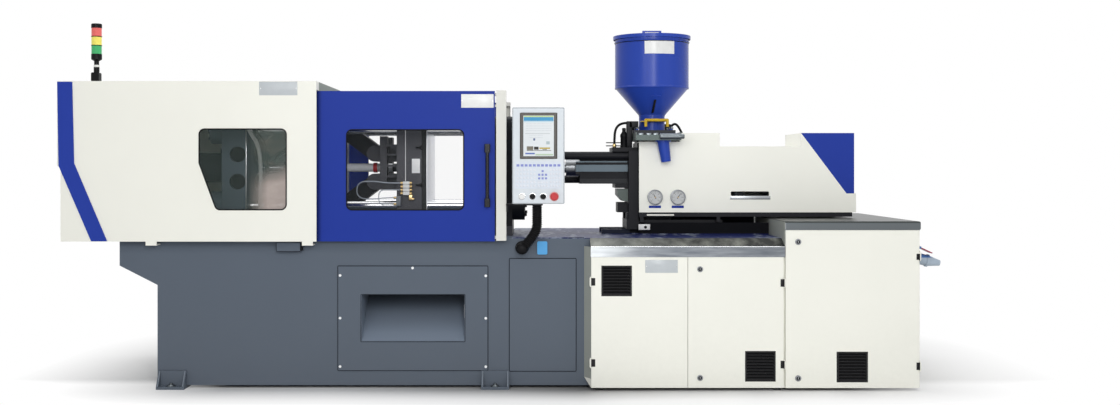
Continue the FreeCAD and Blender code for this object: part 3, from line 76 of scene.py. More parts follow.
class Value:
    # one socket of a material; arithmetic and comparisons on it add Math nodes
    def __init__(self, finish, socket):
        self.finish, self.socket = finish, socket

    def math(self, operation, a, b=0.0):
        return self.finish.node("Math", {"operation": operation}, {0: a, 1: b})

    def __add__(self, other):
        return self.math("ADD", self, other)

    def __sub__(self, other):
        return self.math("SUBTRACT", self, other)

    def __rsub__(self, other):
        return self.math("SUBTRACT", other, self)

    def __mul__(self, other):
        return self.math("MULTIPLY", self, other)

    def __truediv__(self, other):
        return self.math("DIVIDE", self, other)

    def __pow__(self, other):
        return self.math("POWER", self, other)

    def __gt__(self, other):
        return self.math("GREATER_THAN", self, other)

    def __lt__(self, other):
        return self.math("LESS_THAN", self, other)

    __radd__, __rmul__ = __add__, __mul__

    def most(self, other):
        return self.math("MAXIMUM", self, other)

    def size(self):
        return self.math("ABSOLUTE", self)

    def wave(self):
        return self.math("SINE", self)

    def held(self):
        return self.finish.node("Clamp", {}, {0: self, 1: 0.0, 2: 1.0})


class Finish:
    # one material, or the world; node() adds a node, sets it up, then fills or links its sockets
    def __init__(self, name, world=None):
        self.material = world or bpy.data.materials.new(name)
        self.material.use_nodes = True
        self.tree = self.material.node_tree
        self.tree.nodes.clear()
        self.place = None if world else self.node("TexCoord", output="Object")

    def node(self, kind, settings=None, sockets=None, output=0):
        made = self.tree.nodes.new("ShaderNode" + kind)
        for key, value in (settings or {}).items():
            setattr(made, key, value)
        for key, value in (sockets or {}).items():
            if isinstance(value, Value):
                self.tree.links.new(value.socket, made.inputs[key])
            else:
                made.inputs[key].default_value = value
        return Value(self, made.outputs[output])

    def axes(self):
        outputs = self.node("SeparateXYZ", {}, {0: self.place}).socket.node.outputs
        return [Value(self, outputs[k]) for k in range(3)]

    def metres(self, axis):
        # distance from the plan's zero along "x", "y" or "z"
        number = "xyz".index(axis)
        return self.axes()[number] - float(machineOrigin[number])

    def ramp(self, axis, start, slope):
        # 0 up to a place on the axis, then rising by the slope each metre, up to 1; a slope below 0 rises
        # the other way
        return ((self.metres(axis) - start) * slope).held()

    def noise(self, scale, detail=2.0, rough=0.5, of=None):
        return self.node("TexNoise", {}, {"Vector": of or self.place, "Scale": scale, "Detail": detail,
                                          "Roughness": rough})

    def streaks(self, detail, rough, scale):
        # noise drawn out along the axes with the smaller scales
        stretched = self.node("Mapping", {}, {"Vector": self.place, "Scale": scale})
        return self.noise(1.0, detail, rough, stretched)

    def blend(self, mask, a, b):
        return self.node("Mix", {"data_type": "RGBA"}, {0: mask, 6: a, 7: b}, output=2)

    def bump(self, height, depth, strength):
        return self.node("Bump", {}, {"Height": height, "Distance": depth, "Strength": strength})

    def inBox(self, x=(None, None), y=(None, None), z=(None, None)):
        # 1 inside a box of the plan, 0 outside: the product of one comparison for each given side
        mask = None
        for axis, limits, zero in zip(self.axes(), (x, y, z), machineOrigin):
            for limit, above in zip(limits, (True, False)):
                if limit is not None:
                    edge = float(zero + limit / 1000)
                    part = axis > edge if above else axis < edge
                    mask = part if mask is None else mask * part
        return mask

    def inDisc(self, x, z, radius):
        # 1 within a radius of a line along Y: the distance in X and Z, compared once
        across, _, up = self.axes()
        zero = plan(x, 0, z)
        return ((across - float(zero[0])) ** 2 + (up - float(zero[2])) ** 2) ** 0.5 < radius / 1000

    def end(self, surface, kind="OutputMaterial"):
        last = self.tree.nodes.new("ShaderNode" + kind)
        self.tree.links.new(surface.socket, last.inputs["Surface"])
        return self

    def shade(self, sockets):
        return self.end(self.node("BsdfPrincipled", {}, sockets))


def anyOf(masks):
    # 1 where any of the masks is: their maximum
    return functools.reduce(Value.most, masks)


def boxMark(colour, rough, metal=0.0, **box):
    # a mark is a place of a node that carries another finish: it gives its mask, colour, roughness and
    # metal, and this one fills a box of the plan
    return lambda finish: (finish.inBox(**box), colour, rough, metal)


def layMarks(finish, marks, base, roughness):
    # each mark covers what lies under it: under * (1 - mask) + the mark's own * mask
    metal = 0.0
    for mask, colour, rough, shine in [mark(finish) for mark in marks]:
        base = finish.blend(mask, base, colour)
        roughness = roughness * (1 - mask) + mask * rough
        metal = mask * shine + metal if shine else metal
    return {"Base Color": base, "Roughness": roughness, "Metallic": metal}


paintLook = {"drift": 1.7, "peel": 620.0, "scuff": 38.0, "dark": 0.955, "light": 1.035, "swing": 0.10,
             "dustFade": 1.6, "dustShare": 0.10, "dustRough": 0.12, "dust": tone(120, 116, 106),
             "relief": 0.00006}


def paintCoat(name, colour, rough=0.38, grain=1.0, marks=(), coat=0.06, gloss=0.2):
    # baked paint: a fine orange peel of 1.5 mm, a slow drift of tone over half a metre, and dust low down
    finish = Finish(name)
    drift, peel = finish.noise(paintLook["drift"], 3.0), finish.noise(paintLook["peel"])
    scuff = finish.noise(paintLook["scuff"], 5.0, 0.65)
    low = (1 - finish.axes()[2] * paintLook["dustFade"]).held() * scuff
    base = finish.blend(drift, shifted(colour, paintLook["dark"]), shifted(colour, paintLook["light"]))
    base = finish.blend(low * paintLook["dustShare"], base, paintLook["dust"])
    roughness = rough + (drift - 0.5) * paintLook["swing"] + low * paintLook["dustRough"]
    sockets = layMarks(finish, marks, base, roughness)
    sockets.update({"Coat Weight": coat, "Coat Roughness": 0.2, "Specular IOR Level": gloss,
                    "Normal": finish.bump(peel, paintLook["relief"] * grain, 0.6)})
    return finish.shade(sockets)


metalLook = {"grain": {"x": (4, 520, 520), "y": (520, 4, 520), "z": (520, 520, 4)}, "cloud": 3.5,
             "dark": 0.86, "swing": 0.16, "cloudSwing": 0.08, "relief": 0.00004}


def bareMetal(name, colour, rough, along="x", streak=1.0, marks=()):
    # ground or brushed metal: noise drawn out a hundredfold along the grain, for its roughness and relief;
    # its marks change the colour only
    finish = Finish(name)
    grain = finish.streaks(3.0, 0.6, metalLook["grain"][along])
    cloud = finish.noise(metalLook["cloud"], 4.0, 0.6)
    base = finish.blend(cloud * 0.6 + grain * 0.4, shifted(colour, metalLook["dark"]), colour)
    for mask, markColour, *_ in [mark(finish) for mark in marks]:
        base = finish.blend(mask, base, markColour)
    roughness = rough + (grain - 0.5) * metalLook["swing"] * streak + (cloud - 0.5) * metalLook["cloudSwing"]
    return finish.shade({"Base Color": base, "Metallic": 1.0, "Roughness": roughness,
                         "Normal": finish.bump(grain, metalLook["relief"] * streak, 0.5)})


castLook = {"sand": 240.0, "fine": 900.0, "cloud": 6.0, "dark": 0.72, "swing": 0.14, "relief": 0.00035,
            "gloss": 0.16}


def castCoat(name, colour, rough=0.5, grain=1.0, marks=()):
    # painted casting: a 4 mm sand grain under a 1 mm one, darker in the pits
    finish = Finish(name)
    coarse, fine = finish.noise(castLook["sand"], 4.0, 0.6), finish.noise(castLook["fine"])
    cloud = finish.noise(castLook["cloud"], 3.0)
    base = finish.blend(coarse * 0.5 + cloud * 0.5, shifted(colour, castLook["dark"]), colour)
    sockets = layMarks(finish, marks, base, rough + (cloud - 0.5) * castLook["swing"])
    sockets.update({"Specular IOR Level": castLook["gloss"],
                    "Normal": finish.bump(coarse + fine * 0.4, castLook["relief"] * grain, 0.5)})
    return finish.shade(sockets)


plasticLook = {"spark": 1500.0, "mottle": 26.0, "dark": 0.88, "swing": 0.12, "relief": 0.00005}


def mouldedPlastic(name, colour, rough=0.42, grain=1.0, marks=(), alpha=1.0, glow=0.0, gloss=0.3):
    # moulded plastic: spark-eroded grain of two thirds of a millimetre and a faint mottle
    finish = Finish(name)
    spark, mottle = finish.noise(plasticLook["spark"]), finish.noise(plasticLook["mottle"], 4.0, 0.6)
    base = finish.blend(mottle, shifted(colour, plasticLook["dark"]), colour)
    sockets = layMarks(finish, marks, base, rough + (mottle - 0.5) * plasticLook["swing"])
    sockets.update({"Alpha": alpha, "Specular IOR Level": gloss,
                    "Normal": finish.bump(spark, plasticLook["relief"] * grain, 0.5)})
    if glow:
        sockets.update({"Emission Color": sockets["Base Color"], "Emission Strength": glow})
    return finish.shade(sockets)


paneLook = {"wipes": (9, 9, 90), "waves": 3.0, "film": 2.4, "light": 1.3, "gloss": 0.12, "relief": 0.002}
hazeAndReflectionLook = {"start": 1.0, "edge": 9.0, "lowEdge": 0.86, "lowSlope": 0.29, "patches": (8, 1, 14),
            "film": tone(112, 112, 104), "dust": tone(184, 172, 166), "haze": 0.12, "patchHaze": 0.5,
            "dustHaze": 0.26}


def clearSheet(name, colour, alpha, haze, hazeAndReflection=False):
    # clear sheet: thin tint, wipe marks in its gloss, and a slow waviness of 0.3 m; with its last argument
    # set, a pane also gets broad patches of haze and painted reflection, more so towards its right end and
    # low down
    finish = Finish(name)
    wipes, waves = finish.streaks(4.0, 0.6, paneLook["wipes"]), finish.noise(paneLook["waves"], 1.0)
    film = finish.noise(paneLook["film"], 3.0)
    base, cover = finish.blend(film, colour, shifted(colour, paneLook["light"])), film * haze + alpha
    if hazeAndReflection:
        # painted reflection mixed with haze: a darker film in patches towards the right end, and a pale
        # pinkish film low down
        right = finish.ramp("x", hazeAndReflectionLook["start"], hazeAndReflectionLook["edge"])
        sill = finish.metres("x") * hazeAndReflectionLook["lowSlope"] + hazeAndReflectionLook["lowEdge"]
        low = ((sill - finish.metres("z")) * hazeAndReflectionLook["edge"]).held() * right
        patch = finish.streaks(4.0, 0.55, hazeAndReflectionLook["patches"])
        base = finish.blend(right * ((patch - 0.4) * 4.0).held(), base, hazeAndReflectionLook["film"])
        base = finish.blend(low, base, hazeAndReflectionLook["dust"])
        cover = cover + right * (patch * hazeAndReflectionLook["patchHaze"] + hazeAndReflectionLook["haze"])
        cover = cover + low * hazeAndReflectionLook["dustHaze"]
    return finish.shade({"Base Color": base, "Roughness": wipes * 0.10 + 0.03, "Alpha": cover,
                         "Specular IOR Level": paneLook["gloss"],
                         "Normal": finish.bump(waves, paneLook["relief"], 0.25)})


def faces(rows, columns, closedRows, closedColumns, start):
    # quads of a grid: each point with its next in the row and the column, joined round where it is closed
    row = np.arange(rows if closedRows else rows - 1)[:, None]
    column = np.arange(columns if closedColumns else columns - 1)[None, :]
    nextRow, nextColumn = (row + 1) % rows, (column + 1) % columns
    corners = [row * columns + column, nextRow * columns + column, nextRow * columns + nextColumn,
               row * columns + nextColumn]
    return np.stack([c + 0 * (row + column) for c in corners], axis=-1).reshape(-1, 4) + start


def addPiece(name, grids, body, finish, sharp=32, slot=None, replaces=(), places=((0, 0, 0),)):
    # grids of points become one mesh, with copies at each of places; doubles merge and normals point out
    vertices, quads, start = [], [], 0
    for points, closedRows, closedColumns in grids:
        for shift in np.asarray(places, float):
            vertices.append((points + shift).reshape(-1, 3))
            quads.append(faces(points.shape[0], points.shape[1], closedRows, closedColumns, start))
            start += points.shape[0] * points.shape[1]
    mesh = bpy.data.meshes.new(name)
    mesh.from_pydata(np.concatenate(vertices) / 1000 + machineOrigin, [], np.concatenate(quads).tolist())
    shell = bmesh.new()
    shell.from_mesh(mesh)
    bmesh.ops.remove_doubles(shell, verts=shell.verts, dist=2e-6)
    bmesh.ops.dissolve_degenerate(shell, edges=shell.edges, dist=1e-6)
    bmesh.ops.recalc_face_normals(shell, faces=shell.faces)
    shell.to_mesh(mesh)
    shell.free()
    mesh.polygons.foreach_set("use_smooth", np.ones(len(mesh.polygons), bool))
    mesh.set_sharp_from_angle(angle=math.radians(sharp))
    mesh.materials.append(finish.material)
    piece = placed(name, mesh)
    if replaces:
        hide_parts(*replaces)
    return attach(piece, body)


def addMarks(name, corners, body, finish):
    # flat marks without thickness, each of four corners
    flat = corners.reshape(-1, 3)
    mesh = bpy.data.meshes.new(name)
    mesh.from_pydata(flat / 1000 + machineOrigin, [], np.arange(len(flat)).reshape(-1, 4).tolist())
    mesh.materials.append(finish.material)
    piece = placed(name, mesh)
    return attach(piece, body)


def unit(vectors):
    return vectors / np.linalg.norm(vectors, axis=-1, keepdims=True)


def turned(profile, centre, axis="z", steps=40):
    # (radius, height) points swept round an axis: centre + height along it + radius turned about it
    radius, height = np.array(profile, float).T[:, None, :]
    angle = np.linspace(0, 2 * math.pi, steps, endpoint=False)[:, None]
    a, b, c = radius * np.cos(angle), radius * np.sin(angle), height + 0 * angle
    order = {"x": (c, a, b), "y": (b, c, a), "z": (a, b, c)}[axis]
    return [(np.stack(order, axis=-1) + np.array(centre, float), True, False)]


def block(low, high, radius, steps=3):
    # a ball pulled apart to the eight corners of a box: corner ball centre + radius along the ball's normal
    low, high = np.array(low, float), np.array(high, float)
    middle, half = (low + high) / 2, (high - low) / 2 - radius
    quarter = np.linspace(0, math.pi / 2, steps + 1)
    rise = np.concatenate([quarter, quarter + math.pi / 2])[:, None]
    turn = np.concatenate([quarter + k * math.pi / 2 for k in range(4)])[None, :]
    sideX = np.repeat([1, -1, -1, 1], steps + 1)[None, :]
    sideY = np.repeat([1, 1, -1, -1], steps + 1)[None, :]
    sideZ = np.repeat([1, -1], steps + 1)[:, None]
    normal = [np.sin(rise) * np.cos(turn), np.sin(rise) * np.sin(turn), np.cos(rise) + 0 * turn]
    corner = [sideX + 0 * rise, sideY + 0 * rise, sideZ + 0 * turn]
    shell = np.stack([middle[k] + corner[k] * half[k] + radius * normal[k] for k in range(3)], axis=-1)
    cap = np.stack([np.repeat(row.mean(0)[None], row.shape[0], 0) for row in (shell[0], shell[-1])])
    return [(np.concatenate([cap[:1], shell, cap[1:]]), False, True)]


def swept(path, section, up, closed=False, widths=None):
    # a flat section carried along a path: point + across * side + over * normal, side = tangent x up
    path, section = np.array(path, float), np.array(section, float)
    tangent = unit(np.roll(path, -1, 0) - np.roll(path, 1, 0) if closed else np.gradient(path, axis=0))
    side = unit(np.cross(tangent, np.array(up, float)))
    normal = np.cross(side, tangent)
    width = np.ones(len(path)) if widths is None else np.array(widths, float)
    across, over = section[None, :, 0, None], section[None, :, 1, None]
    points = path[:, None] + width[:, None, None] * (across * side[:, None] + over * normal[:, None])
    if not closed:
        caps = [np.repeat(points[k].mean(0)[None, None], points.shape[1], 1) for k in (0, -1)]
        points = np.concatenate([caps[0], points, caps[1]])
    return [(points, closed, True)]


def circle(radius, steps=16):
    angle = np.linspace(0, 2 * math.pi, steps, endpoint=False)
    return np.stack([radius * np.cos(angle), radius * np.sin(angle)], axis=-1)


def rectangle(left, right, foot, top):
    return [(left, top), (right, top), (right, foot), (left, foot)]


def roundedLoop(corners, radius, y, steps=6):
    # closed outline of (x, z) corners, each cut back by an arc that is tangent to both its sides
    corners = np.array(corners, float)
    before = unit(np.roll(corners, 1, 0) - corners)
    after = unit(np.roll(corners, -1, 0) - corners)
    half = np.arccos(np.clip((before * after).sum(1), -1, 1)) / 2
    centre = corners + unit(before + after) * (radius / np.sin(half))[:, None]
    start = corners + before * (radius / np.tan(half))[:, None] - centre
    end = corners + after * (radius / np.tan(half))[:, None] - centre
    share = np.linspace(0, 1, steps)[None, :, None]
    arc = unit(start[:, None] * (1 - share) + end[:, None] * share) * radius + centre[:, None]
    flat = arc.reshape(-1, 2)
    return np.stack([flat[:, 0], np.full(len(flat), float(y)), flat[:, 1]], axis=-1)


def bead(corners, bend, y, radius, steps=6):
    # a thin round line along a rounded outline on a front face
    return swept(roundedLoop(corners, bend, y, steps), circle(radius, 8), (0, -1, 0), closed=True)


def curveMesh(name, curve):
    # the mesh and the points of a curve or a text, read through an object that is removed again
    holder = placed(name, curve)
    bpy.context.view_layer.update()
    mesh = bpy.data.meshes.new_from_object(holder)
    bpy.data.objects.remove(holder)
    points = np.zeros(len(mesh.vertices) * 3)
    mesh.vertices.foreach_get("co", points)
    return mesh, points.reshape(-1, 3)


def hoseLine(points, name, count):
    # a NURBS spline of order 3 through the hose's own control points, with even steps: each coordinate is
    # interpolated over the length run so far; gives the line and its length
    curve = bpy.data.curves.new(name, "CURVE")
    curve.dimensions, curve.resolution_u = "3D", 10
    spline = curve.splines.new("NURBS")
    spline.points.add(len(points) - 1)
    spline.points.foreach_set("co", np.column_stack([np.array(points, float), np.ones(len(points))]).ravel())
    spline.order_u, spline.use_endpoint_u = 3, True
    line = curveMesh(name, curve)[1]
    run = np.concatenate([[0], np.cumsum(np.linalg.norm(np.diff(line, axis=0), axis=1))])
    even = np.linspace(0, run[-1], count)
    return np.stack([np.interp(even, run, line[:, k]) for k in range(3)], axis=-1), run[-1]


def addHose(name, route, radius, sides, count, body, finish, **rest):
    # a round tube carried along the spline of its route
    line, length = hoseLine(route, name + "_route", count)
    addPiece(name, swept(line, circle(radius, sides), (0, 1, 0)), body, finish, **rest)
    print(name, round(length, 1))


def digits(text, size, centre, body, finish, name):
    # plain numbers as a flat mesh on a front face, turned upright before their place is applied
    curve = bpy.data.curves.new(name, "FONT")
    curve.body, curve.size, curve.extrude = text, size / 1000, 0.0001
    curve.align_x, curve.align_y = "CENTER", "CENTER"
    mesh, flat = curveMesh(name, curve)
    upright = np.stack([flat[:, 0], -flat[:, 2], flat[:, 1]], axis=-1) + plan(*centre)
    mesh.vertices.foreach_set("co", upright.ravel())
    mesh.update()
    mesh.materials.clear()
    mesh.materials.append(finish.material)
    piece = placed(name, mesh)
    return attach(piece, body)


# The camera stands at the operator's side, level with the middle of the windows.
view = {"place": (2516, -6700, 1167), "lens": 40.4, "shift": (0.0232, -0.0299)}
camera = placed("camera", bpy.data.cameras.new("camera"))
camera.location = plan(*view["place"])
camera.rotation_euler = (math.pi / 2, 0, 0)
camera.data.lens, camera.data.sensor_width, camera.data.clip_end = view["lens"], 36.0, 200.0
camera.data.shift_x, camera.data.shift_y = view["shift"]
bpy.context.scene.camera = camera

# Finishes of the machine. Grilles, hinges and locks are marks on the doors that carry them; the table after
# it says how strongly each painted shadow, painted reflection and worn place shows.
black, darkSteel, cream = tone(22, 22, 24), tone(90, 92, 96), tone(242, 242, 233)
paintedLightAndWear = {"guardShadow": 0.85, "deck": 0.62, "lip": 0.86, "lipWipe": 0.7, "slope": 0.62, "slopeWipe": 1.7}
cabinetMarks = {
    "grilles": [((2870, 3031), (498, 659)), ((3626, 3787), (49, 210)), ((4106, 4271), (46, 207))],
    "hinges": [((2816, 2838), (553, 594), -90.5), ((2816, 2838), (127, 168), -90.5),
               ((3812, 3832), (548, 590), -90.5), ((3812, 3832), (116, 159), -90.5),
               ((4525, 4542), (682, 722), -95.5), ((4525, 4542), (111, 151), -95.5)],
    "locks": [(3389, 640), (3389, 69), (3904, 784), (3904, 67)],
}


def grilleMark(finish):
    # black plastic grilles and hinges
    masks = [finish.inBox(x=x, z=z) for x, z in cabinetMarks["grilles"]]
    masks += [finish.inBox(x, (None, front), z) for x, z, front in cabinetMarks["hinges"]]
    return anyOf(masks), black, 0.45, 0.0


def lockMark(finish):
    # the dark steel bodies of the quarter-turn locks
    discs = anyOf([finish.inDisc(x, z, 16.0) for x, z in cabinetMarks["locks"]])
    return discs * finish.inBox(y=(None, -92.5)), darkSteel, 0.35, 0.9


def wallShadeMark(finish):
    # the left return of the low cabinet and of the tall one: painted shade, a greener grey over the cream
    low = finish.inBox((None, 2822), (-84, None), (60, None))
    tall = finish.inBox((3834, 3840), (-84, None), (700, None))
    return low.most(tall), tone(158, 162, 156), 0.45, 0.0


def screwMark(finish):
    # the seven bright screw heads of the chute panel
    screws = [(1869, 640), (1483, 600), (2259, 598), (1483, 373), (2259, 372), (1483, 115), (2259, 114)]
    discs = anyOf([finish.inDisc(x, z, 7.6) for x, z in screws])
    return discs * finish.inBox(y=(None, -4.2)), tone(232, 234, 236), 0.3, 0.4


def chuteShadeMark(finish):
    # the chute's run: painted shade, pale at its foot and darker deeper in, towards the drop
    deep = finish.ramp("y", 0.05, 2.6)
    inside = finish.inBox((1580, 2160), (1.0, None), (200, 780))
    return inside, finish.blend(deep, tone(128, 140, 156), tone(30, 34, 42)), 0.5, 0.0


def guardShadowMark(finish):
    # a painted shadow of the guard's edge along the door's left end, next to the guard
    guardShadow = finish.inBox((1340, 1420), (None, 60)) * finish.ramp("x", 1.392, -34.0)
    return guardShadow * paintedLightAndWear["guardShadow"], tone(12, 18, 60), 0.5, 0.0


def underGuardShadowMark(finish):
    # painted shadow close under the guard: it fades downwards and to the right
    fade = finish.ramp("z", 0.716, 14.0) * finish.ramp("x", 2.42, -9.0) * paintedLightAndWear["deck"]
    return finish.inBox((300, 2420), (None, 4), (700, 800)) * fade, tone(66, 74, 86), 0.5, 0.0


def ribMark(finish):
    # wiped ribs of the barrel guard
    broad, thin = finish.inBox(z=(1152, 1191)), finish.inBox(z=(1204.5, 1212))
    return broad.most(thin), tone(84, 96, 104), 0.35, 0.3


def lipMark(finish):
    # the low doors' steel lip: pale at its left end, darker along to the right
    wipe = finish.streaks(3.0, 0.5, (7, 60, 60))
    shade = (finish.ramp("x", 2.86, 4.5) * paintedLightAndWear["lip"] + (wipe - 0.5) * paintedLightAndWear["lipWipe"]).held()
    lip = finish.inBox((2800, 3835), (None, -93.6), (700, 757.5))
    return lip, finish.blend(shade, tone(192, 196, 199), tone(98, 103, 110)), 0.32, 1.0


def slopeReflectionMark(finish):
    # the sloping top: painted reflections, clear near the left end and dark beside the injection unit
    wipe = finish.streaks(4.0, 0.6, (14, 9, 9))
    shade = (finish.ramp("x", 3.0, 3.0) * paintedLightAndWear["slope"] + wipe * paintedLightAndWear["slopeWipe"] - paintedLightAndWear["slope"]).held()
    slope = finish.inBox((2800, 3835), (-94.2, 1), (757.4, None))
    return slope, finish.blend(shade, tone(150, 152, 146), tone(30, 33, 34)), 0.3, 1.0


# painted shade: a greener grey on the top of the guard's right end
guardEndShade = boxMark(tone(142, 152, 146), 0.5, x=(1345, 2050), y=(8, None), z=(1560, None))
# painted shade: the post a little darker than the cream
postFrontShade = boxMark(tone(222, 222, 215), 0.45, x=(2310, 2440))
cabinetFeet = boxMark(black, 0.6, x=(2800, None), z=(None, 13.2))
outletCover = boxMark(tone(92, 166, 222), 0.45, x=(2530, 2590), y=(None, -4.5), z=(709, 786))
hopperFlange = boxMark(tone(44, 46, 52), 0.45, 0.3, x=(3070, 3340), y=(None, 700), z=(1355, 1390))
mouldFaces = boxMark(tone(224, 226, 230), 0.3, 1.0, x=(1919, 2240), z=(895, 1455))
platenEdge = boxMark(tone(36, 38, 38), 0.5, x=(1891, 1919), y=(None, 300), z=(895, 1455))
ejectorTube = boxMark(tone(226, 228, 232), 0.4, x=(None, 1700), y=(540, 600), z=(1145, 1205))
fixedPlaten = boxMark(tone(24, 25, 29), 0.45, x=(2300, 2560), z=(850, None))
clampRod = boxMark(tone(214, 217, 222), 0.2, 1.0, x=(None, 1079), y=(545, 595), z=(1150, 1200))
slideBed = boxMark(tone(86, 96, 94), 0.4, 0.3, x=(3078, 3330), z=(1325.5, 1372))
carriageNose = boxMark(tone(98, 108, 104), 0.45, x=(2985, 3050), z=(984, 1054))
lowRib = boxMark(tone(48, 50, 53), 0.5, z=(None, 1112))
capFront = boxMark(tone(98, 103, 106), 0.34, 1.0, x=(3840, None), y=(None, -88), z=(None, 884))
capTop = boxMark(tone(66, 70, 70), 0.34, 1.0, x=(3830, None), z=(884, None))
panelBezel = boxMark(tone(88, 84, 80), 0.4, x=(2441, 2639), y=(None, -115.2), z=(1218, 1463))
panelKeypad = boxMark(tone(214, 222, 232), 0.5, x=(2417, 2661), y=(None, -115.4), z=(1063, 1207))
socketFaces = boxMark(tone(170, 184, 198), 0.5, x=(4560, None), z=(None, 690))
socketBracket = boxMark(tone(40, 52, 92), 0.5, x=(4540, 4584), z=(None, 750))

creamPaint = paintCoat("creamPaint", cream, marks=(guardEndShade, postFrontShade))
cabinetPaint = paintCoat("cabinetPaint", cream, marks=(wallShadeMark, grilleMark, lockMark, cabinetFeet))
bluePaint = paintCoat("bluePaint", tone(37, 59, 152), rough=0.34, gloss=0.07, coat=0.0, marks=(guardShadowMark,))
trimBlue = paintCoat("trimBlue", tone(43, 65, 160), rough=0.34, gloss=0.07, coat=0.0)
# painted light: the cover's cream is a paler copy of the guard's, making up for the floor's bounce light that
# the cabinet tops block
coverPaintLightened = paintCoat("coverPaintLightened", tone(250, 250, 241))
hopperPaint = paintCoat("hopperPaint", tone(40, 70, 170), rough=0.28, coat=0.03, marks=(hopperFlange,))
basePaint = paintCoat("basePaint", tone(92, 101, 113), rough=0.46, grain=1.4, gloss=0.12, coat=0.0,
                      marks=(underGuardShadowMark, chuteShadeMark, outletCover, screwMark))
castPaint = castCoat("castPaint", tone(80, 80, 85), marks=(mouldFaces, platenEdge, ejectorTube, fixedPlaten))
tailPaint = castCoat("tailPaint", tone(98, 112, 122))
carriagePaint = castCoat("carriagePaint", tone(27, 28, 33), grain=0.6, marks=(slideBed, carriageNose))
slatePaint = castCoat("slatePaint", tone(58, 62, 68), grain=0.6)
guardSheet = castCoat("guardSheet", tone(26, 28, 33), grain=0.3, marks=(ribMark, lowRib))
blackOxide = castCoat("blackOxide", tone(22, 23, 27), rough=0.42, grain=0.4, marks=(clampRod,))
dullSteel = bareMetal("dullSteel", tone(158, 161, 165), 0.36)
brushedTop = bareMetal("brushedTop", tone(150, 153, 156), 0.34,
                       marks=(slopeReflectionMark, lipMark, capTop, capFront))
chromeRod = bareMetal("chromeRod", (0.6, 0.61, 0.62, 1), 0.14, streak=0.4)
groundSteel = bareMetal("groundSteel", (0.2, 0.21, 0.22, 1), 0.36, along="z")
brass = bareMetal("brass", (0.72, 0.52, 0.24, 1), 0.28, streak=0.6)
blackPlastic = mouldedPlastic("blackPlastic", tone(16, 16, 19), gloss=0.12)
handleBlack = mouldedPlastic("handleBlack", tone(15, 17, 26), rough=0.26)
rubber = mouldedPlastic("rubber", tone(20, 20, 22), rough=0.6, grain=2.0, gloss=0.12)
whitePlastic = mouldedPlastic("whitePlastic", tone(236, 236, 234), rough=0.34)
panelPlastic = mouldedPlastic("panelPlastic", tone(219, 226, 232), rough=0.34,
                              marks=(panelBezel, panelKeypad))
greyPlastic = mouldedPlastic("greyPlastic", tone(118, 124, 130))
redPlastic = mouldedPlastic("redPlastic", tone(196, 44, 50), rough=0.3)
yellowPaint = mouldedPlastic("yellowPaint", tone(224, 186, 40), rough=0.36)
clearHose = mouldedPlastic("clearHose", tone(182, 190, 200), rough=0.16, alpha=0.55)
doorPane = clearSheet("doorPane", tone(120, 128, 130), 0.012, 0.02)
guardPane = clearSheet("guardPane", tone(84, 96, 92), 0.10, 0.10, hazeAndReflection=True)
plateEnamel = mouldedPlastic("plateEnamel", tone(240, 241, 240), rough=0.25)
silverFoil = mouldedPlastic("silverFoil", tone(196, 202, 206), rough=0.25)
socketPlastic = mouldedPlastic("socketPlastic", tone(84, 124, 184), marks=(socketFaces, socketBracket))
lidPlastic = mouldedPlastic("lidPlastic", tone(160, 34, 70), rough=0.35)

deckLook = {"patches": (17, 3.4, 17), "grain": (5, 420, 420), "cut": 0.505, "edge": 8.0, "leftEnd": 2.54,
            "leftSlope": -12.0, "leftMore": 0.12, "metal": 0.14, "gloss": 0.05, "rough": 0.26,
            "relief": 0.0003, "pale": tone(118, 125, 142), "oiled": tone(30, 38, 82),
            "rails": tone(30, 34, 48), "sheets": tone(15, 16, 20)}


def deckPlate():
    # worn deck steel: pale patches over dark oiled ones, partly wiped steel and partly painted reflection,
    # and black sheets beside the injection unit
    finish = Finish("deckPlate")
    patches = finish.streaks(5.0, 0.66, deckLook["patches"])
    grain = finish.streaks(3.0, 0.6, deckLook["grain"])
    left = finish.ramp("x", deckLook["leftEnd"], deckLook["leftSlope"])
    # painted reflection: the pale patches, more of them towards the left end, partly wiped steel
    paleSheen = ((patches - deckLook["cut"] + left * deckLook["leftMore"]) * deckLook["edge"]).held()
    base = finish.blend(paleSheen, deckLook["oiled"], deckLook["pale"])
    base = finish.blend(finish.inBox(x=(2700, 3058), z=(800.5, None)), base, deckLook["rails"])
    sheets = finish.inBox(x=(3058, None), z=(804, None))
    return finish.shade({"Base Color": finish.blend(sheets, base, deckLook["sheets"]),
                         "Metallic": paleSheen * deckLook["metal"] * (1 - sheets),
                         "Roughness": deckLook["rough"] + patches * 0.22 + sheets * 0.2,
                         "Specular IOR Level": deckLook["gloss"],
                         "Normal": finish.bump(grain + patches * 2.0, deckLook["relief"], 0.5)})


# The operator's page, each bar as left, right, foot, top and colour; the lower ones draw a machine.
screenPage = {
    "lime": (2462, 2618, 1440, 1445, tone(176, 206, 120)),
    "band": (2462, 2618, 1419, 1439, tone(60, 146, 190)),
    "head": (2462, 2618, 1412, 1418, tone(180, 206, 216)),
    "rule": (2470, 2600, 1352, 1354, tone(168, 174, 178)),
    "lamp": (2512, 2522, 1316, 1328, tone(88, 102, 140)),
    "dial": (2580, 2598, 1296, 1312, tone(168, 182, 186)),
    "clamp": (2478, 2512, 1266, 1286, tone(120, 116, 104)),
    "mould": (2516, 2540, 1268, 1284, tone(52, 50, 46)),
    "barrel": (2544, 2600, 1272, 1280, tone(186, 166, 76)),
    "screw": (2560, 2584, 1268, 1271, tone(40, 40, 42)),
    "bed": (2478, 2606, 1262, 1265, tone(92, 90, 84)),
    "note": (2470, 2520, 1244, 1252, tone(96, 116, 176)),
    "foot": (2524, 2616, 1238, 1246, tone(176, 196, 170)),
}
screenRows = [((2472, 2608), (1358, 1406)), ((2490, 2560), (1330, 1346))]
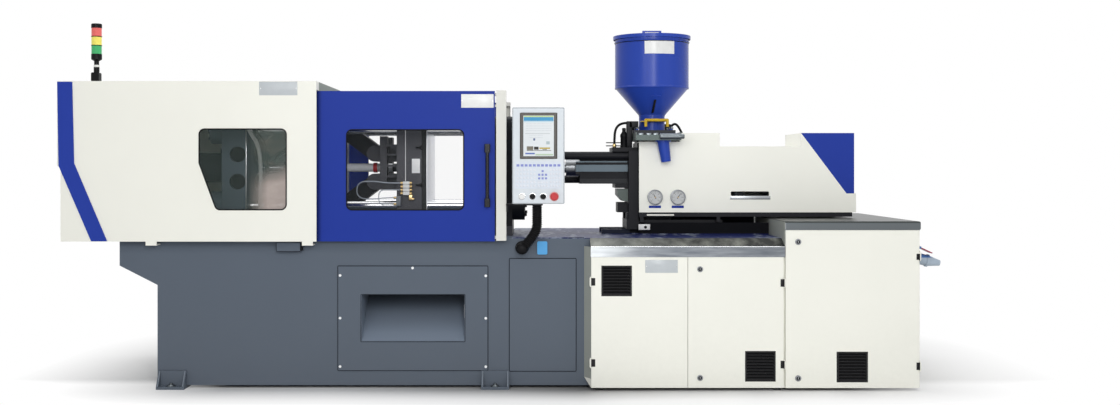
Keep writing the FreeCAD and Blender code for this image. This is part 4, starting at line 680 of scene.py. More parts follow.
screenLook = {"columns": 900.0, "lines": 520.0, "columnCut": 0.1, "lineCut": 0.55, "faint": 0.35,
              "ink": tone(120, 132, 146), "edge": tone(40, 44, 48), "page": tone(216, 221, 224)}


def screenFace():
    # a pale page in a dark edge, its bars, and faint rows where two waves across and up are both high
    finish = Finish("screenFace")
    across, _, up = finish.axes()
    page = finish.inBox(x=(2460, 2620), z=(1234, 1447))
    base = finish.blend(page, screenLook["edge"], screenLook["page"])
    for left, right, foot, top, colour in screenPage.values():
        base = finish.blend(finish.inBox(x=(left, right), z=(foot, top)), base, colour)
    columns = (across * screenLook["columns"]).wave() > screenLook["columnCut"]
    rows = columns * ((up * screenLook["lines"]).wave() > screenLook["lineCut"])
    for x, z in screenRows:
        base = finish.blend(rows * finish.inBox(x=x, z=z) * screenLook["faint"], base, screenLook["ink"])
    return finish.shade({"Base Color": base, "Roughness": 0.14, "Specular IOR Level": 0.2,
                         "Emission Color": base, "Emission Strength": 0.08})


nodeFinishes = {
    creamPaint: ["guard_front", "guard_wrap", "door_frame"],
    coverPaintLightened: ["injection_cover"],
    cabinetPaint: ["low_cabinet", "tall_cabinet", "low_door_left", "low_door_right", "tall_door"],
    bluePaint: ["safety_door", "rear_door"],
    trimBlue: ["stripe_panel", "cover_wedge"],
    hopperPaint: ["hopper", "hopper_lid", "discharge_tube"],
    basePaint: ["base_frame", "front_panels"],
    deckPlate(): ["deck_tray"],
    castPaint: ["fixed_platen", "moving_platen"],
    tailPaint: ["tail_platen"],
    carriagePaint: ["carriage"],
    guardSheet: ["barrel_guard"],
    slatePaint: ["clamp_cylinder", "pump_unit", "injection_ram"],
    blackOxide: ["rear_link_upper", "rear_link_lower", "front_link_upper", "front_link_lower", "crosshead"],
    chromeRod: ["tie_bars", "ejector_rod"],
    groundSteel: ["barrel", "screw"],
    brushedTop: ["cabinet_tops"],
    blackPlastic: ["stack_light_body", "selector_left", "selector_right", "panel_bracket"],
    handleBlack: ["safety_door_handle"],
    panelPlastic: ["panel_housing"],
    screenFace(): ["panel_screen"],
    whitePlastic: ["push_button"],
    redPlastic: ["emergency_stop"],
    yellowPaint: ["slide_gate"],
    socketPlastic: ["end_sockets"],
    lidPlastic: ["socket_lid"],
    doorPane: ["safety_door_window", "rear_door_window"],
    guardPane: ["guard_window"],
}
for finish, names in nodeFinishes.items():
    for name in names:
        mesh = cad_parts[name].data
        mesh.materials.clear()
        mesh.materials.append(finish.material)
print("finishes on", sum(len(names) for names in nodeFinishes.values()), "nodes")

# Rubber edges round the windows, half sunk in the sheet: a low arch, wide along the sheet.
windowEdge = {"wide": 7, "proud": 2.2, "corner": 28}
windows = {
    "guard_window_edge": ([(749, 1378), (1209, 1378), (1209, 952), (840, 952), (749, 1199)], -70,
                          "machine", -1),
    "door_window_edge": (rectangle(1522, 2143, 950, 1375), -35, "front_door", -1),
    "rear_window_edge": (rectangle(1477, 2143, 930, 1389), 1175, "back_door", 1),
}
bend = np.linspace(0, math.pi, 9)
arch = np.stack([np.cos(bend) * windowEdge["wide"] / 2, np.sin(bend) * windowEdge["proud"]], axis=-1)
for name, (corners, y, body, outwards) in windows.items():
    loop = roundedLoop(corners, windowEdge["corner"], y)
    addPiece(name, swept(loop, arch, (0, outwards, 0), closed=True), body, rubber, sharp=50,
             slot="black_rubber")

# Stack light: ridged lenses, each a turned ripple, and the collar, sleeve and rings that hold them.
stack = {"x": 80, "y": 300, "radius": 28.2, "ridges": 7, "ripple": 0.9, "gap": 0.2, "tall": 44.6}
lensLook = {"green": (1807.0, tone(64, 170, 106)), "yellow": (1856.5, tone(234, 222, 106)),
            "red": (1906.0, tone(222, 104, 100))}
stackFoot = (stack["x"], stack["y"], 0)
share = np.linspace(0, 1, stack["ridges"] * 8 + 1)
ripple = stack["radius"] - stack["ripple"] * (0.5 - 0.5 * np.cos(share * stack["ridges"] * 2 * math.pi))
for word, (foot, colour) in lensLook.items():
    bottom = foot + stack["gap"]
    profile = np.stack([ripple, bottom + share * stack["tall"]], axis=-1)
    profile = np.concatenate([[[0, bottom]], profile, [[0, bottom + stack["tall"]]]])
    lensFinish = mouldedPlastic(word + "Lens", colour, rough=0.18, glow=0.2)
    addPiece("lens_" + word + "_ridged", turned(profile, stackFoot, steps=48), "machine", lensFinish,
             sharp=60, slot="lens_" + word, replaces=["lens_" + word])
collar = [(0, 1734), (15.5, 1734), (16.2, 1736), (16.2, 1744), (15.5, 1746), (0, 1746)]
addPiece("stack_collar", turned(collar, stackFoot), "machine", whitePlastic)
sleeve = [(0, 1704), (15, 1704), (15.6, 1708), (15.6, 1733), (0, 1734)]
addPiece("stack_sleeve", turned(sleeve, stackFoot), "machine", blackPlastic)
ring = [(0, -2.2), (28.6, -2.2), (29.2, -1.4), (29.2, 1.4), (28.6, 2.2), (0, 2.2)]
addPiece("stack_rings", turned(ring, stackFoot), "machine", blackPlastic,
         places=[(0, 0, 1854), (0, 0, 1903.5)])
print("guard, windows and stack light dressed")

# Control panel: rows of flat keys, a thin grey frame line, rings round the buttons, the screen's edge.
panelLook = {"front": -116.0, "proud": 0.9, "face": -115, "buttons": 1023}
panelRows = [1163, 1142, 1121, 1100, 1079]
keyBlue = mouldedPlastic("keyBlue", tone(138, 148, 210), rough=0.45)
keyPale = mouldedPlastic("keyPale", tone(226, 230, 238), rough=0.45)
keyRows = {
    "keys_top": (np.linspace(2432, 2646, 11), [1186], 15, 12, keyBlue),
    "keys_left": (np.linspace(2430, 2518, 6), panelRows, 11, 12, keyPale),
    "keys_right": (np.linspace(2604, 2650, 4), panelRows, 10, 12, keyPale),
    "keys_middle": (np.linspace(2540, 2584, 4), [1079, 1097], 10, 11, keyPale),
    "keys_arrows": ([2543, 2561, 2579], [1137, 1118], 11, 11, keyBlue),
    "key_up": ([2561], [1156], 11, 10, keyBlue),
}
for name, (xs, zs, wide, tall, finish) in keyRows.items():
    # one soft key, repeated at every crossing of the columns and rows
    key = block((-wide / 2, panelLook["front"] - panelLook["proud"], -tall / 2),
                (wide / 2, panelLook["front"] + 0.3, tall / 2), 0.5, 2)
    columns, rows = np.meshgrid(xs, zs)
    places = np.stack([columns.ravel(), 0 * columns.ravel(), rows.ravel()], axis=-1)
    addPiece(name, key, "control_panel", finish, places=places, slot="white_plastic")
addPiece("panel_frame_line", bead(rectangle(2405, 2673, 987.3, 1487), 5, -115.1, 1.3), "control_panel",
         greyPlastic)
ringProfile = [(14.6, 0.4), (14.6, -2.6), (15.6, -3.6), (17.6, -3.4), (18.6, -0.4), (18.6, 0.4), (14.6, 0.4)]
stopProfile = [(20.5, 0.4), (20.5, -3.2), (23.5, -2.6), (24.5, 0.4), (20.5, 0.4)]
chromeRing = bareMetal("chromeRing", (0.66, 0.67, 0.68, 1), 0.25, along="y")
palePink = mouldedPlastic("palePink", tone(226, 150, 146), rough=0.4)
rings = {"ring_white": (2452, ringProfile, chromeRing), "ring_left": (2508, ringProfile, chromeRing),
         "ring_right": (2564, ringProfile, chromeRing), "ring_stop": (2622, stopProfile, palePink)}
for name, (x, profile, finish) in rings.items():
    centre = (x, panelLook["face"], panelLook["buttons"])
    addPiece(name, turned(profile, centre, "y"), "control_panel", finish)
addPiece("screen_edge", bead(rectangle(2446, 2634, 1221, 1461), 4, -118, 1.0), "control_panel", blackPlastic)

# Ribbed conduit from the panel's boss to the gland on the base: radius rises and falls once each rib.
conduitLook = {"outer": 27.0, "valley": 22.0, "pitch": 10.0, "ribs": 26, "perRib": 10}
conduitRoute = [(2532, -80, 1006), (2532, -80, 930), (2532, -80, 828), (2469, -80, 765)]
conduitPoints = conduitLook["ribs"] * conduitLook["perRib"] + 1
conduitRun, conduitLength = hoseLine(conduitRoute, "conduit_route", conduitPoints)
along = np.linspace(0, conduitLength, conduitPoints)
rib = (0.5 + 0.5 * np.cos(along / conduitLook["pitch"] * 2 * math.pi)) ** 0.6
share = (conduitLook["valley"] + (conduitLook["outer"] - conduitLook["valley"]) * rib) / conduitLook["outer"]
addPiece("conduit_ribbed", swept(conduitRun, circle(conduitLook["outer"], 28), (0, 1, 0), widths=share),
         "machine", rubber, sharp=60, slot="black_plastic", replaces=["conduit"])
print("panel and conduit dressed, conduit", round(conduitLength, 1))

carriage = "injection_carriage"  # the body that carries the gauges, the head and the cover

# Pressure gauges: rim, enamel dial with ticks and numbers, needle and hub, and a blue strip below each.
gaugeLook = {"xs": (3194.0, 3322.0), "z": 1009.0, "front": 325.0, "sweep": 270, "start": 225, "ticks": 31,
             "tickEnd": 34, "numbers": 7, "numberReach": 22.5, "numberStep": 45, "lean": (118, 58)}
rimProfile = [(0, 21.5), (43, 21.5), (43, 4), (41.5, 1), (38.5, 0), (36.5, 1.5), (36, 7), (0, 7), (0, 21.5)]
dialProfile = [(0, 6.9), (36.2, 6.9), (36.2, 6.2), (0, 6.2)]
hubProfile = [(0, 2.6), (2.5, 3.0), (3.6, 4.2), (3.6, 6.9), (0, 6.9)]
dialFinish = mouldedPlastic("dialFinish", tone(198, 200, 201), rough=0.3)
inkFinish = mouldedPlastic("inkFinish", tone(28, 28, 32), rough=0.4)


def gaugeTicks(spot):
    # four corners for each tick: radius out from the hub, half its width to each side
    angle = np.radians(gaugeLook["start"] - np.linspace(0, gaugeLook["sweep"], gaugeLook["ticks"]))
    major = np.arange(gaugeLook["ticks"]) % 5 == 0
    long, wide = np.where(major, 6.5, 3.5), np.where(major, 0.9, 0.5)
    out = np.stack([np.cos(angle), 0 * angle, np.sin(angle)], axis=-1)
    side = np.stack([-np.sin(angle), 0 * angle, np.cos(angle)], axis=-1)
    inner, outer = gaugeLook["tickEnd"] - long, gaugeLook["tickEnd"] + 0 * long
    reach = np.stack([inner, outer, outer, inner], axis=1)[:, :, None]
    spread = np.stack([-wide, -wide, wide, wide], axis=1)[:, :, None]
    return out[:, None] * reach + side[:, None] * spread + np.array(spot) + np.array([0, 6.1, 0])


def gaugeNeedle(spot, lean):
    # a flat bar that tapers along the needle's direction
    tip = np.array([math.cos(lean), 0, math.sin(lean)])
    path = np.array([tip * r for r in (-9, 0, 12, 27)]) + np.array(spot) + np.array([0, 4.6, 0])
    section = [(0.9, 0.35), (-0.9, 0.35), (-0.9, -0.35), (0.9, -0.35)]
    return swept(path, section, (0, -1, 0), widths=(2.2, 2.4, 1.6, 0.5))


for number, x in enumerate(gaugeLook["xs"]):
    spot = (x, gaugeLook["front"], gaugeLook["z"])
    word = "gauge_" + str(number)
    addPiece(word + "_rim", turned(rimProfile, spot, "y", 56), carriage, dullSteel,
             slot="stainless", replaces=["gauges"] if number == 0 else ())
    addPiece(word + "_dial", turned(dialProfile, spot, "y", 56), carriage, dialFinish)
    addMarks(word + "_ticks", gaugeTicks(spot), carriage, inkFinish)
    for k in range(gaugeLook["numbers"]):
        bend = math.radians(gaugeLook["start"] - k * gaugeLook["numberStep"])
        centre = (x + gaugeLook["numberReach"] * math.cos(bend), gaugeLook["front"] + 6.0,
                  gaugeLook["z"] + gaugeLook["numberReach"] * math.sin(bend))
        digits(str(k * 4), 7, centre, carriage, inkFinish, word + "_number_" + str(k))
    needle = gaugeNeedle(spot, math.radians(gaugeLook["lean"][number]))
    addPiece(word + "_needle", needle, carriage, inkFinish)
    addPiece(word + "_hub", turned(hubProfile, spot, "y", 20), carriage, brass)
    strip = block((x - 34, 345.6, 948), (x + 34, 347.4, 962), 0.6, 2)
    addPiece(word + "_strip", strip, carriage, bluePaint)

# Position scale: a steel strip with long and short marks in turn, and a rubber edge round its slot.
scaleLook = {"first": 3621, "last": 3836, "step": 5.0, "half": 0.4, "foot": (344.85, 998), "tall": (7.0, 4.0)}
addPiece("scale_strip", block((3615, 344.9, 996), (3841, 347.4, 1016), 0.6, 2), carriage,
         dullSteel, slot="stainless")
marks = np.arange(scaleLook["first"], scaleLook["last"], scaleLook["step"])
tall = np.where(np.arange(len(marks)) % 2 == 0, *scaleLook["tall"])
half = scaleLook["half"]
upright = np.array([[-half, 0, 0], [half, 0, 0], [half, 0, 1], [-half, 0, 1]])
stretch = np.stack([1 + 0 * tall, 1 + 0 * tall, tall], axis=-1)[:, None]
scaleFeet = np.stack([marks, scaleLook["foot"][0] + 0 * marks, scaleLook["foot"][1] + 0 * marks], axis=-1)
addMarks("scale_marks", upright[None] * stretch + scaleFeet[:, None], carriage, inkFinish)
addPiece("slot_edge", bead(rectangle(3621, 3832, 1018, 1040), 5, 347, 1.6), carriage, rubber)
print("gauges and scale dressed")

# Hopper: seams of its bowl and neck, the shadow gap under its lid, sight slot, hood and a bent plate.
hopperLook = {"x": 3197.0, "y": 570.0, "bowl": 212, "neck": 74, "coneFoot": 1475, "coneTop": 1634}
centre = (hopperLook["x"], hopperLook["y"], 0)
bowlSeam = [(211.5, 1628), (213.2, 1630), (213.6, 1634), (213.2, 1638), (211.5, 1640)]
addPiece("hopper_seam", turned(bowlSeam, centre, steps=96), "hopper_body", hopperPaint)
neckSeam = [(74, 1470), (76, 1472), (76, 1480), (74, 1484)]
addPiece("hopper_neck_seam", turned(neckSeam, centre, steps=64), "hopper_body", hopperPaint)
lidGap = [(211, 1887), (213.4, 1887.6), (213.4, 1892), (211, 1892.6), (211, 1887)]
addPiece("lid_shadow", turned(lidGap, centre, steps=96), "hopper_body", blackPlastic)


def onCone(point, proud):
    # the cone's radius at that height gives Y; the piece lies on the front of the cone
    rise = (point[2] - hopperLook["coneFoot"]) / (hopperLook["coneTop"] - hopperLook["coneFoot"])
    radius = hopperLook["neck"] + (hopperLook["bowl"] - hopperLook["neck"]) * rise + proud
    depth = math.sqrt(radius ** 2 - (point[0] - hopperLook["x"]) ** 2)
    return np.array([point[0], hopperLook["y"] - depth, point[2]])


def curvedPlate(x0, x1, z0, z1, radius):
    # a thin plate bent to the bowl: angle across, height up, lifted half a millimetre
    angle = np.linspace(*np.arcsin((np.array([x0, x1]) - hopperLook["x"]) / radius), 14)[None]
    height = np.array([z0, z0, z0 + 1.2, z1 - 1.2, z1, z1])[:, None]
    out = radius + np.array([0.1, 0.8, 1.0, 1.0, 0.8, 0.1])[:, None]
    points = np.stack([hopperLook["x"] + out * np.sin(angle), hopperLook["y"] - out * np.cos(angle),
                       height + 0 * angle], axis=-1)
    return [(points, False, False)]


slotFoot, slotTop = np.array([3196.0, 0, 1490.0]), np.array([3205.0, 0, 1560.0])
slotPath = np.array([onCone(slotFoot + (slotTop - slotFoot) * k, 1.0) for k in np.linspace(0, 1, 9)])
addPiece("hopper_sight", swept(slotPath, circle(1) * [2.6, 13.0], (0, -1, 1)), "hopper_body", blackPlastic,
         slot="black_plastic")
hoodLook = {"left": 3176, "right": 3232, "z": 1580, "rise": 4}
hoodXs = np.linspace(hoodLook["left"], hoodLook["right"], 12)
hoodZs = hoodLook["z"] + hoodLook["rise"] * np.sin((hoodXs - hoodLook["left"]) / 56 * math.pi)
hoodPath = np.array([onCone((x, 0, z), 1.5) for x, z in zip(hoodXs, hoodZs)])
addPiece("hopper_hood", swept(hoodPath, circle(2.6, 8), (0, -1, 0)), "hopper_body", hopperPaint)
addPiece("hopper_plate", curvedPlate(3138, 3306, 1816, 1890, 212.2), "hopper_body", plateEnamel,
         slot="white_plastic")
print("hopper dressed")

# Blank enamel plates with two rivets, bare of any print.
plates = {"guard_plate": ((1066, 1268), (1556, 1628), -70, "machine", silverFoil),
          "door_plate": ((2130, 2302), (1492, 1564), -35, "front_door", plateEnamel),
          "cabinet_plate": ((3101, 3272), (621, 689), -90, "left_cabinet_door", silverFoil)}
rivetProfile = [(0, -1.6), (2.2, -1.2), (3.0, -0.4), (3.0, 0.4), (0, 0.4)]
for name, ((x0, x1), (z0, z1), front, body, finish) in plates.items():
    addPiece(name, block((x0, front - 1.2, z0), (x1, front + 0.4, z1), 0.7, 2), body, finish,
             slot="white_plastic")
    addPiece(name + "_rivets", turned(rivetProfile, (0, front - 1.0, 0), "y", 14), body, chromeRing,
             places=[(x, 0, (z0 + z1) / 2) for x in (x0 + 7, x1 - 7)])

# Injection head: bottle valve, coolant block with its pins, and the arched hose between them.
hoseRoute = [(2975, 480, 1290), (2975, 480, 1340), (2980, 480, 1395), (3008, 480, 1428), (3045, 480, 1430)]
addHose("throat_hose_tube", hoseRoute, 7.0, 20, 40, carriage, rubber, slot="black_rubber",
        replaces=["throat_hose"])
valveProfile = [(0, 1290), (22, 1290), (22, 1300), (20, 1303), (20, 1346), (22, 1350), (22, 1362), (12, 1378),
                (10.5, 1384), (11, 1390), (11, 1399), (9, 1402), (0, 1402)]
addPiece("throat_valve", turned(valveProfile, (3031, 500, 0), steps=36), carriage, blackPlastic)
throatBlocks = block((3045, 470, 1290), (3077, 530, 1440), 3) + block((3060, 470, 1402), (3112, 530, 1440), 3)
addPiece("throat_block", throatBlocks, carriage, blackOxide)
pinProfile = [(0, 2928), (2.4, 2929), (3, 2932), (3, 3046), (0, 3046)]
addPiece("throat_pins", turned(pinProfile, (0, 515, 0), "x", 16), carriage, blackOxide,
         places=[(0, 0, 1300), (0, 0, 1318)])
ferruleProfile = [(0, 0), (9.5, 0), (10.5, 2), (10.5, 16), (8.2, 20), (0, 20)]
addPiece("throat_ferrule", turned(ferruleProfile, hoseRoute[0], steps=24), carriage, brass)
print("injection head dressed")

# Mould water: white manifold blocks, brass ends, and two clear hoses that follow their own route.
waterLook = {"body": "moving_clamp", "y": 265, "back": 285.2, "pitch": 19, "ports": 4}
waterBody, waterY, back = waterLook["body"], waterLook["y"], waterLook["back"]
portRise = [waterLook["pitch"] * k for k in range(waterLook["ports"])]
addPiece("manifold_blocks", block((1790, 255, 0), (1826, back, 17.5), 1.6), waterBody, whitePlastic,
         places=[(0, 0, 1023 + rise) for rise in portRise], slot="white_plastic", replaces=["water_manifold"])
addPiece("manifold_back", block((1793, 262, 1022), (1823, back, 1100), 1.0), waterBody, greyPlastic)
barb = [(0, 1776), (5.2, 1776), (5.6, 1779), (7.5, 1780), (7.5, 1788), (6.0, 1790), (6.0, 1827), (7.5, 1828),
        (7.5, 1837), (5.0, 1840), (0, 1840)]
addPiece("manifold_ends", turned(barb, (0, waterY, 0), "x", 18), waterBody, brass,
         places=[(0, 0, 1032 + rise) for rise in portRise])
addPiece("drain_elbow", block((1822, 265, 994), (1840, back, 1024), 2), waterBody, brass)
nose = [(0, 1836), (6, 1836), (6, 1849), (4.5, 1852), (0, 1852)]
addPiece("drain_nose", turned(nose, (0, 271, 1000), "x", 18), waterBody, brass)
addPiece("return_block", block((1753, 255, 962), (1777, back, 1016), 1.6), waterBody, greyPlastic)
stub = [(0, 1737), (4.6, 1737), (5.4, 1739), (6.5, 1741), (6.5, 1754), (0, 1754)]
addPiece("return_stubs", turned(stub, (0, waterY, 0), "x", 18), waterBody, brass,
         places=[(0, 0, 1008), (0, 0, 972)])
riser = [(0, 1100), (2.2, 1100), (2.2, 1439), (0, 1440)]
addPiece("riser", turned(riser, (1802, 282.2, 0), steps=12), waterBody, whitePlastic)
addPiece("riser_clip", block((1797, 278, 1428), (1807, back, 1440), 1.0, 2), waterBody, greyPlastic)
# each route lies in one plane: (x, z) at the depth of the brass ends
waterRoutes = {
    "water_hose_upper": [(1776, 1089), (1700, 1089), (1622, 1101), (1534, 1094), (1534, 1004), (1636, 1000),
                         (1690, 1008), (1737, 1008)],
    "water_hose_lower": [(1776, 1051), (1720, 1051), (1655, 1051), (1655, 972), (1705, 972), (1737, 972)],
}
for name, route in waterRoutes.items():
    addHose(name, [(x, waterY, z) for x, z in route], 3.4, 14, 90, waterBody, clearHose, slot="clear_hose",
            replaces=["water_hoses"] if name == "water_hose_upper" else ())

# Base: dark gap lines round the screwed panels, the chute and the cable box, a light slot in the chute, and
# the feet's bolts with painted highlights along their edges.
gapLine = mouldedPlastic("gapLine", tone(30, 34, 42), rough=0.6, gloss=0.1)
baseLines = {
    "chute_panel_line": (rectangle(1471, 2270, 93, 650), -2.6, 2.2),
    "service_panel_line": (rectangle(2385, 2740, 90, 690), -2.6, 2.2),
    "cable_box_line": (rectangle(1150.5, 1277.5, 730.5, 778.5), -39.2, 1.8),
    "chute_edge_line": (rectangle(1593, 2149, 246, 499), -3.4, 1.4),
}
for name, (corners, y, radius) in baseLines.items():
    addPiece(name, bead(corners, 3, y, radius, 3), "machine", gapLine, slot="black_rubber")
# painted shade: a black plate on the cable box's right end
addPiece("cable_box_end", block((1279.1, -38, 733), (1286, -1, 776), 2), "machine", blackPlastic)
addPiece("chute_slot", block((2144.2, 1.5, 372), (2148.4, 4.5, 445), 0.8, 2), "machine", whitePlastic)
boltProfile = [(0, 19), (7, 19), (9, 18), (9, 9), (17, 8.6), (18, 7), (18, 5.4), (24, 5), (24, 1.5), (0, 1.5)]
zinc = bareMetal("zinc", tone(112, 118, 122), 0.34, along="z")
addPiece("foot_bolts", turned(boltProfile, (0, 0, 13.7), steps=24), "machine", zinc,
         places=[(x, y, 0) for y in (-35, 1175) for x in (592, 2310)])
# painted highlights: pale lines along the front edges of the feet's gussets
footEdgeHighlight = mouldedPlastic("footEdgeHighlight", tone(142, 151, 162), rough=0.4)
for number, x in enumerate((525.5, 658.5, 2243.5, 2376.5)):
    edge = [(x, -59.8, 17), (x, -36, 55), (x, -13, 92)]
    addPiece("foot_edge_" + str(number), swept(edge, circle(1.6, 8), (1, 0, 0)), "machine", footEdgeHighlight)
print("base dressed")

# Cabinets: lock inserts, a rolled line along the steel tops with a painted highlight.
lockRing = [(10.2, 0.8), (10.2, -1.6), (11.2, -2.6), (14.0, -2.4), (15.8, -0.8), (15.8, 0.8), (10.2, 0.8)]
lockCore = [(0, -0.6), (10.0, -0.6), (10.4, 0.6), (0, 0.6)]
lockFronts = {3389: (-94, "right_cabinet_door"), 3904: (-99, "end_cabinet_door")}
for letter, (x, z) in zip("abcd", cabinetMarks["locks"]):
    name, (front, body) = "lock_" + letter, lockFronts[x]
    addPiece(name, turned(lockRing, (x, front, z), "y", 28), body, dullSteel)
    addPiece(name + "_core", turned(lockCore, (x, front, z), "y", 28), body, blackOxide)
    key = block((x - 1.8, front - 2.6, z - 6), (x + 1.8, front - 0.4, z + 6), 0.8, 2)
    addPiece(name + "_key", key, body, dullSteel)
# painted highlight: pale steel lines along the tops' front edges and the tail platen's edge
edgeHighlight = bareMetal("edgeHighlight", tone(226, 228, 230), 0.25)
topLines = {"low_top_line": ((2815, 3300, 3835), -94.4, 758.6, 1.7),
            "tall_top_line": ((3838, 4200, 4540), -94.6, 889.2, 2.2)}
for name, (xs, y, z, radius) in topLines.items():
    addPiece(name, swept([(x, y, z) for x in xs], circle(radius, 10), (0, 0, 1)), "machine", edgeHighlight)
print("cabinets dressed")

# Clamp unit: recesses of the tail platen, its hoses, the ejector's red ring, clamp bolts and a bare plate.
# painted shade: each recess is a shallow near-black dish on the platen's face
recess = [(0, -0.4), (33, -0.4), (34, -1.6), (40, -2.0), (43, -0.8), (43, 0.6), (0, 0.6)]
recessShade = mouldedPlastic("recessShade", tone(14, 17, 20), rough=0.5, gloss=0.12)
addPiece("platen_recess", turned(recess, (871, 285, 0), "y", 40), "machine", recessShade,
         places=[(0, 0, 1248), (0, 0, 1098)])
# painted highlight on the tail platen's edge
addPiece("platen_edge", block((913.5, 281.8, 905), (918.5, 285.4, 1440), 1.0, 2), "machine", edgeHighlight)
hoseSheen = mouldedPlastic("hoseSheen", tone(228, 230, 226), rough=0.4)
clampHeights = (1415, 1378, 1300, 1180, 1000, 799)
clampHoses = {"clamp_hose_pale": ((925, 938, 990, 1004, 1000, 1000), 262, 11, hoseSheen),
              "clamp_hose_black": ((952, 962, 1022, 1034, 1030, 1030), 285, 13, rubber)}
for name, (xs, y, radius, finish) in clampHoses.items():
    addHose(name, [(x, y, z) for x, z in zip(xs, clampHeights)], radius, 18, 60, "machine", finish,
            slot="black_rubber")
addPiece("clamp_hose_head", block((914, 248, 1402), (968, 302, 1446), 6), "machine", blackOxide)
hoseGland = [(0, 795.6), (16.6, 795.6), (17.2, 798), (17.2, 805), (14, 812), (0, 812)]
addPiece("clamp_hose_glands", turned(hoseGland, (0, 0, 0), steps=28), "machine", blackOxide,
         places=[(1000, 262, 0), (1030, 285, 0)])
ejectorRing = [(24.2, 1588), (28.4, 1589), (29, 1591), (29, 1609), (28.4, 1611), (24.2, 1612), (24.2, 1588)]
addPiece("ejector_ring", turned(ejectorRing, (0, 570, 1175), "x", 36), "moving_clamp", redPlastic)
clampBolt = [(0, -16), (6, -16), (7.5, -14.5), (7.5, -8), (13, -7.5), (13, 0.5), (0, 0.5)]
clampPlaces = [(0, 0, 1286), (0, 0, 1078)]
addPiece("clamp_bolts", turned(clampBolt, (1893, 285, 0), "y", 18), "moving_clamp", blackPlastic,
         places=clampPlaces)
addPiece("clamp_bars", block((1858, 276, -6), (1893, 285.4, 6), 1.5, 2), "moving_clamp", blackPlastic,
         places=clampPlaces)
addPiece("platen_plate", block((1837, 283.6, 1144), (1882, 285.4, 1224), 0.7, 2), "moving_clamp",
         plateEnamel, slot="white_plastic")
print("clamp unit dressed")

# Hopper foot: the slide's bright bar with its end cap, clamps, bolts, black blocks and a hose behind the
# neck, and under the cover a white block and a cream ledge.
slateSteel = bareMetal("slateSteel", tone(70, 78, 78), 0.36, along="z")
slideBar = [(0, 3207), (15, 3208), (17, 3211), (17, 3322), (14, 3326), (14, 3338), (12, 3344), (0, 3345)]
addPiece("slide_bar", turned(slideBar, (0, 222, 1347), "x", 30), "hopper_body", zinc)
addPiece("slide_clamps", block((-14, 228, 1330), (14, 262, 1366), 3), "hopper_body", zinc,
         places=[(3106, 0, 0), (3150, 0, 0), (3188, 0, 0)])
addPiece("slide_rail", block((3083, 226, 1334), (3324, 236, 1352), 2), "hopper_body", slateSteel)
boltHead = [(0, 1396), (9, 1396), (10, 1399), (10, 1405), (8.6, 1408), (0, 1408)]
addPiece("flange_bolts", turned(boltHead, (0, 0, 0), steps=6), "hopper_body", zinc,
         places=[(x, y, 0) for x in (3105, 3302) for y in (480, 570, 660)])
addPiece("neck_blocks", block((3062, 610, 1330), (3116, 690, 1424), 8), carriage, blackPlastic)
addPiece("neck_block_right", block((3270, 696, 1322), (3330, 760, 1432), 14, 5), carriage,
         blackPlastic)
neckRoute = [(3320, 728, 1410), (3340, 728, 1440), (3372, 728, 1420), (3394, 728, 1367)]
addHose("neck_hose", neckRoute, 7, 14, 30, carriage, rubber, slot="black_rubber")
addPiece("clamp_block", block((3101, 334, 826), (3166, 346.6, 858), 3), carriage, whitePlastic)
clampHole = [(0, -1.2), (7, -1.2), (8.4, -0.2), (8.4, 0.6), (0, 0.6)]
addPiece("clamp_hole", turned(clampHole, (3140, 334, 841), "y", 20), carriage, blackPlastic)
addPiece("cream_ledge", block((3148, 333, 905), (3300, 346.6, 914), 1.5, 2), carriage, creamPaint)
print("hopper foot dressed")

# Screw: its radius is a cone at the tip, then a root with one flight that winds once each pitch, then the
# shank.
screwLook = {"x": (2720.0, 3694.0), "flights": (2768.0, 3326.0), "axis": (570.0, 1175.0), "root": 13.5,
             "outer": 19.6, "journal": 24.8, "shank": 3622, "pitch": 40.0, "land": 0.82, "flank": 0.06,
             "tip": 0.45}
run = np.linspace(*screwLook["x"], 620)[:, None]
turn = np.linspace(0, 2 * math.pi, 41)[None, :-1]
ridge = (np.cos(run / screwLook["pitch"] * 2 * math.pi - turn) - screwLook["land"]) / screwLook["flank"]
inFlights = (run > screwLook["flights"][0]) & (run < screwLook["flights"][1])
depth = np.where(inFlights, (1 - np.clip(ridge, 0, 1)) * (screwLook["outer"] - screwLook["root"]), 0)
tip = np.minimum(screwLook["outer"], 2 + (run - screwLook["x"][0]) * screwLook["tip"])
radius = np.maximum(np.where(run > screwLook["shank"], screwLook["journal"], tip) - depth, 1.5)
axisY, axisZ = screwLook["axis"]
thread = np.stack([run + 0 * turn, axisY + radius * np.cos(turn), axisZ + radius * np.sin(turn)], axis=-1)
caps = [np.broadcast_to([x, axisY, axisZ], (1, 40, 3)) for x in screwLook["x"]]
addPiece("screw_flighted", [(np.concatenate([caps[0], thread, caps[1]]), False, True)], "plasticising_screw",
         groundSteel, sharp=50, replaces=["screw"])
print("screw dressed")

# Pale cement floor: it takes the shadow near the machine and turns plain white further out.
floorLook = {"half": 8.0, "middle": (2525, 570, 0), "halfLong": 2.03, "halfDeep": 0.62, "near": 0.03,
             "far": 0.88, "tone": (0.84, 0.84, 0.84, 1.0), "back": 0.6, "front": (1.05, 0.85),
             "narrower": 0.4, "shadowReach": 0.42, "paintedShadow": 0.8, "paintedShadowTone": tone(96, 96, 96),
             "frontLine": 0.3, "frontSlope": -6.0, "endsFrom": 0.25, "endsSlope": 0.75}


def seenRays(finish):
    # 1 for a ray that shows the surface straight, in a mirror or through glass, and 0 for a light's ray
    light = finish.node("LightPath").socket.node.outputs
    camera, glossy, clear = [Value(finish, light[kind]) for kind in
                             ("Is Camera Ray", "Is Glossy Ray", "Is Transmission Ray")]
    return (camera + glossy + clear).held()


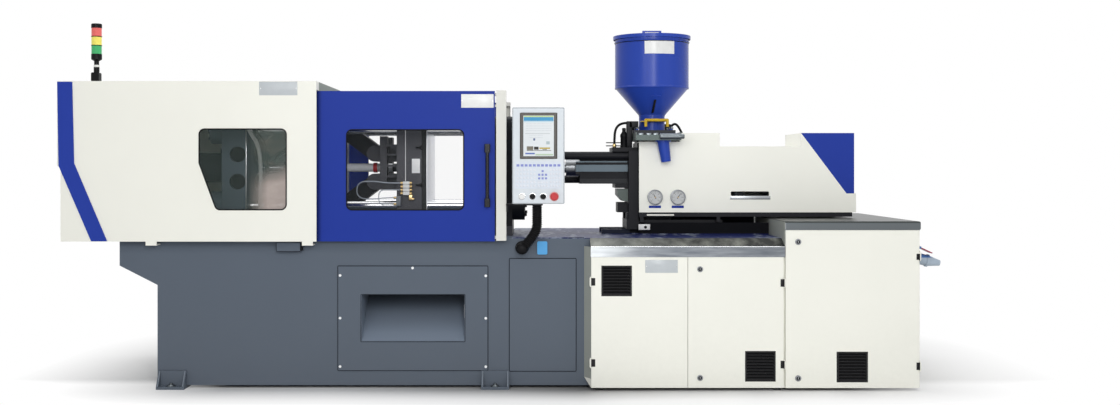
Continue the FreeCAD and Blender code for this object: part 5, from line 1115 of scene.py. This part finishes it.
def floorFinish():
    # metres from the machine's footprint; cement near it, with a painted shadow in front of the machine that
    # is darkest before its middle, and further out the floor fades to plain white, slowly behind the machine
    # and fast in front of its ends
    finish = Finish("paleFloor")
    middle = plan(*floorLook["middle"])
    x, y, _ = finish.axes()
    across, deep = x - float(middle[0]), y - float(middle[1])
    facing = ((deep + floorLook["frontLine"]) * floorLook["frontSlope"]).held()
    ends = ((across - floorLook["endsFrom"]).size() * floorLook["endsSlope"]).held()
    beside = (across.size() - floorLook["halfLong"] + facing * floorLook["narrower"]).most(0.0)
    front = (deep + floorLook["halfDeep"]) * -1.0 * (ends * floorLook["front"][1] + floorLook["front"][0])
    ahead = ((deep - floorLook["halfDeep"]) * floorLook["back"]).most(front).most(0.0)
    reach = (beside ** 2 + ahead ** 2) ** 0.5
    away = ((reach - floorLook["near"]) / (floorLook["far"] - floorLook["near"])).held()
    # painted shadow: darker cement in front of the machine, strongest before its middle and fading towards
    # its ends and further out
    paintedShadow = (1 - ahead / floorLook["shadowReach"]).held() * (1 - ends) * facing * floorLook["paintedShadow"]
    cement = finish.node("BsdfPrincipled", {}, {
        "Base Color": finish.blend(paintedShadow, floorLook["tone"], floorLook["paintedShadowTone"]),
        "Roughness": finish.noise(60.0, 3.0) * 0.1 + 0.5, "Specular IOR Level": 0.2})
    plain = finish.node("Emission", {}, {"Color": (1, 1, 1, 1), "Strength": 1.0})
    return finish.end(finish.node("MixShader", {}, {0: away * seenRays(finish), 1: cement, 2: plain}))


half = floorLook["half"]
floorMesh = bpy.data.meshes.new("floor")
floorCorners = [(-half, -half, 0), (half, -half, 0), (half, half, 0), (-half, half, 0)]
floorMesh.from_pydata(floorCorners, [], [(0, 1, 2, 3)])
floorMesh.materials.append(floorFinish().material)
floor = placed("floor", floorMesh)

# Studio light: a white surround that is dimmer as light than as backdrop, and four soft lamps.
studio = {"surround": 0.39}
lamps = {
    "lampFront": {"place": (1350, -6400, 2900), "aim": (2300, 0, 900), "size": (5.0, 2.4), "power": 126},
    "lampTop": {"place": (2600, 1100, 5600), "aim": (2400, 500, 800), "size": (6.0, 2.6), "power": 170},
    "lampStrip": {"place": (3300, -6900, 2600), "aim": (3150, 0, 1400), "size": (0.6, 2.8), "power": 100},
    "lampRight": {"place": (6800, -3600, 2600), "aim": (3200, 0, 900), "size": (3.0, 3.0), "power": 12},
}
world = bpy.data.worlds.new("studio")
bpy.context.scene.world = world
surround = Finish("studio", world)
strength = seenRays(surround) * (1 - studio["surround"]) + studio["surround"]
surround.end(surround.node("Background", {}, {"Color": (1, 1, 1, 1), "Strength": strength}), "OutputWorld")
for name, lamp in lamps.items():
    data = bpy.data.lights.new(name, "AREA")
    data.shape, data.energy = "RECTANGLE", lamp["power"]
    data.size, data.size_y = lamp["size"]
    holder = placed(name, data)
    holder.location = plan(*lamp["place"])
    aim = Vector(plan(*lamp["aim"])) - Vector(plan(*lamp["place"]))
    holder.rotation_euler = aim.to_track_quat("-Z", "Y").to_euler()
bpy.context.scene.view_settings.view_transform = "Standard"
print("camera, floor and lamps placed")
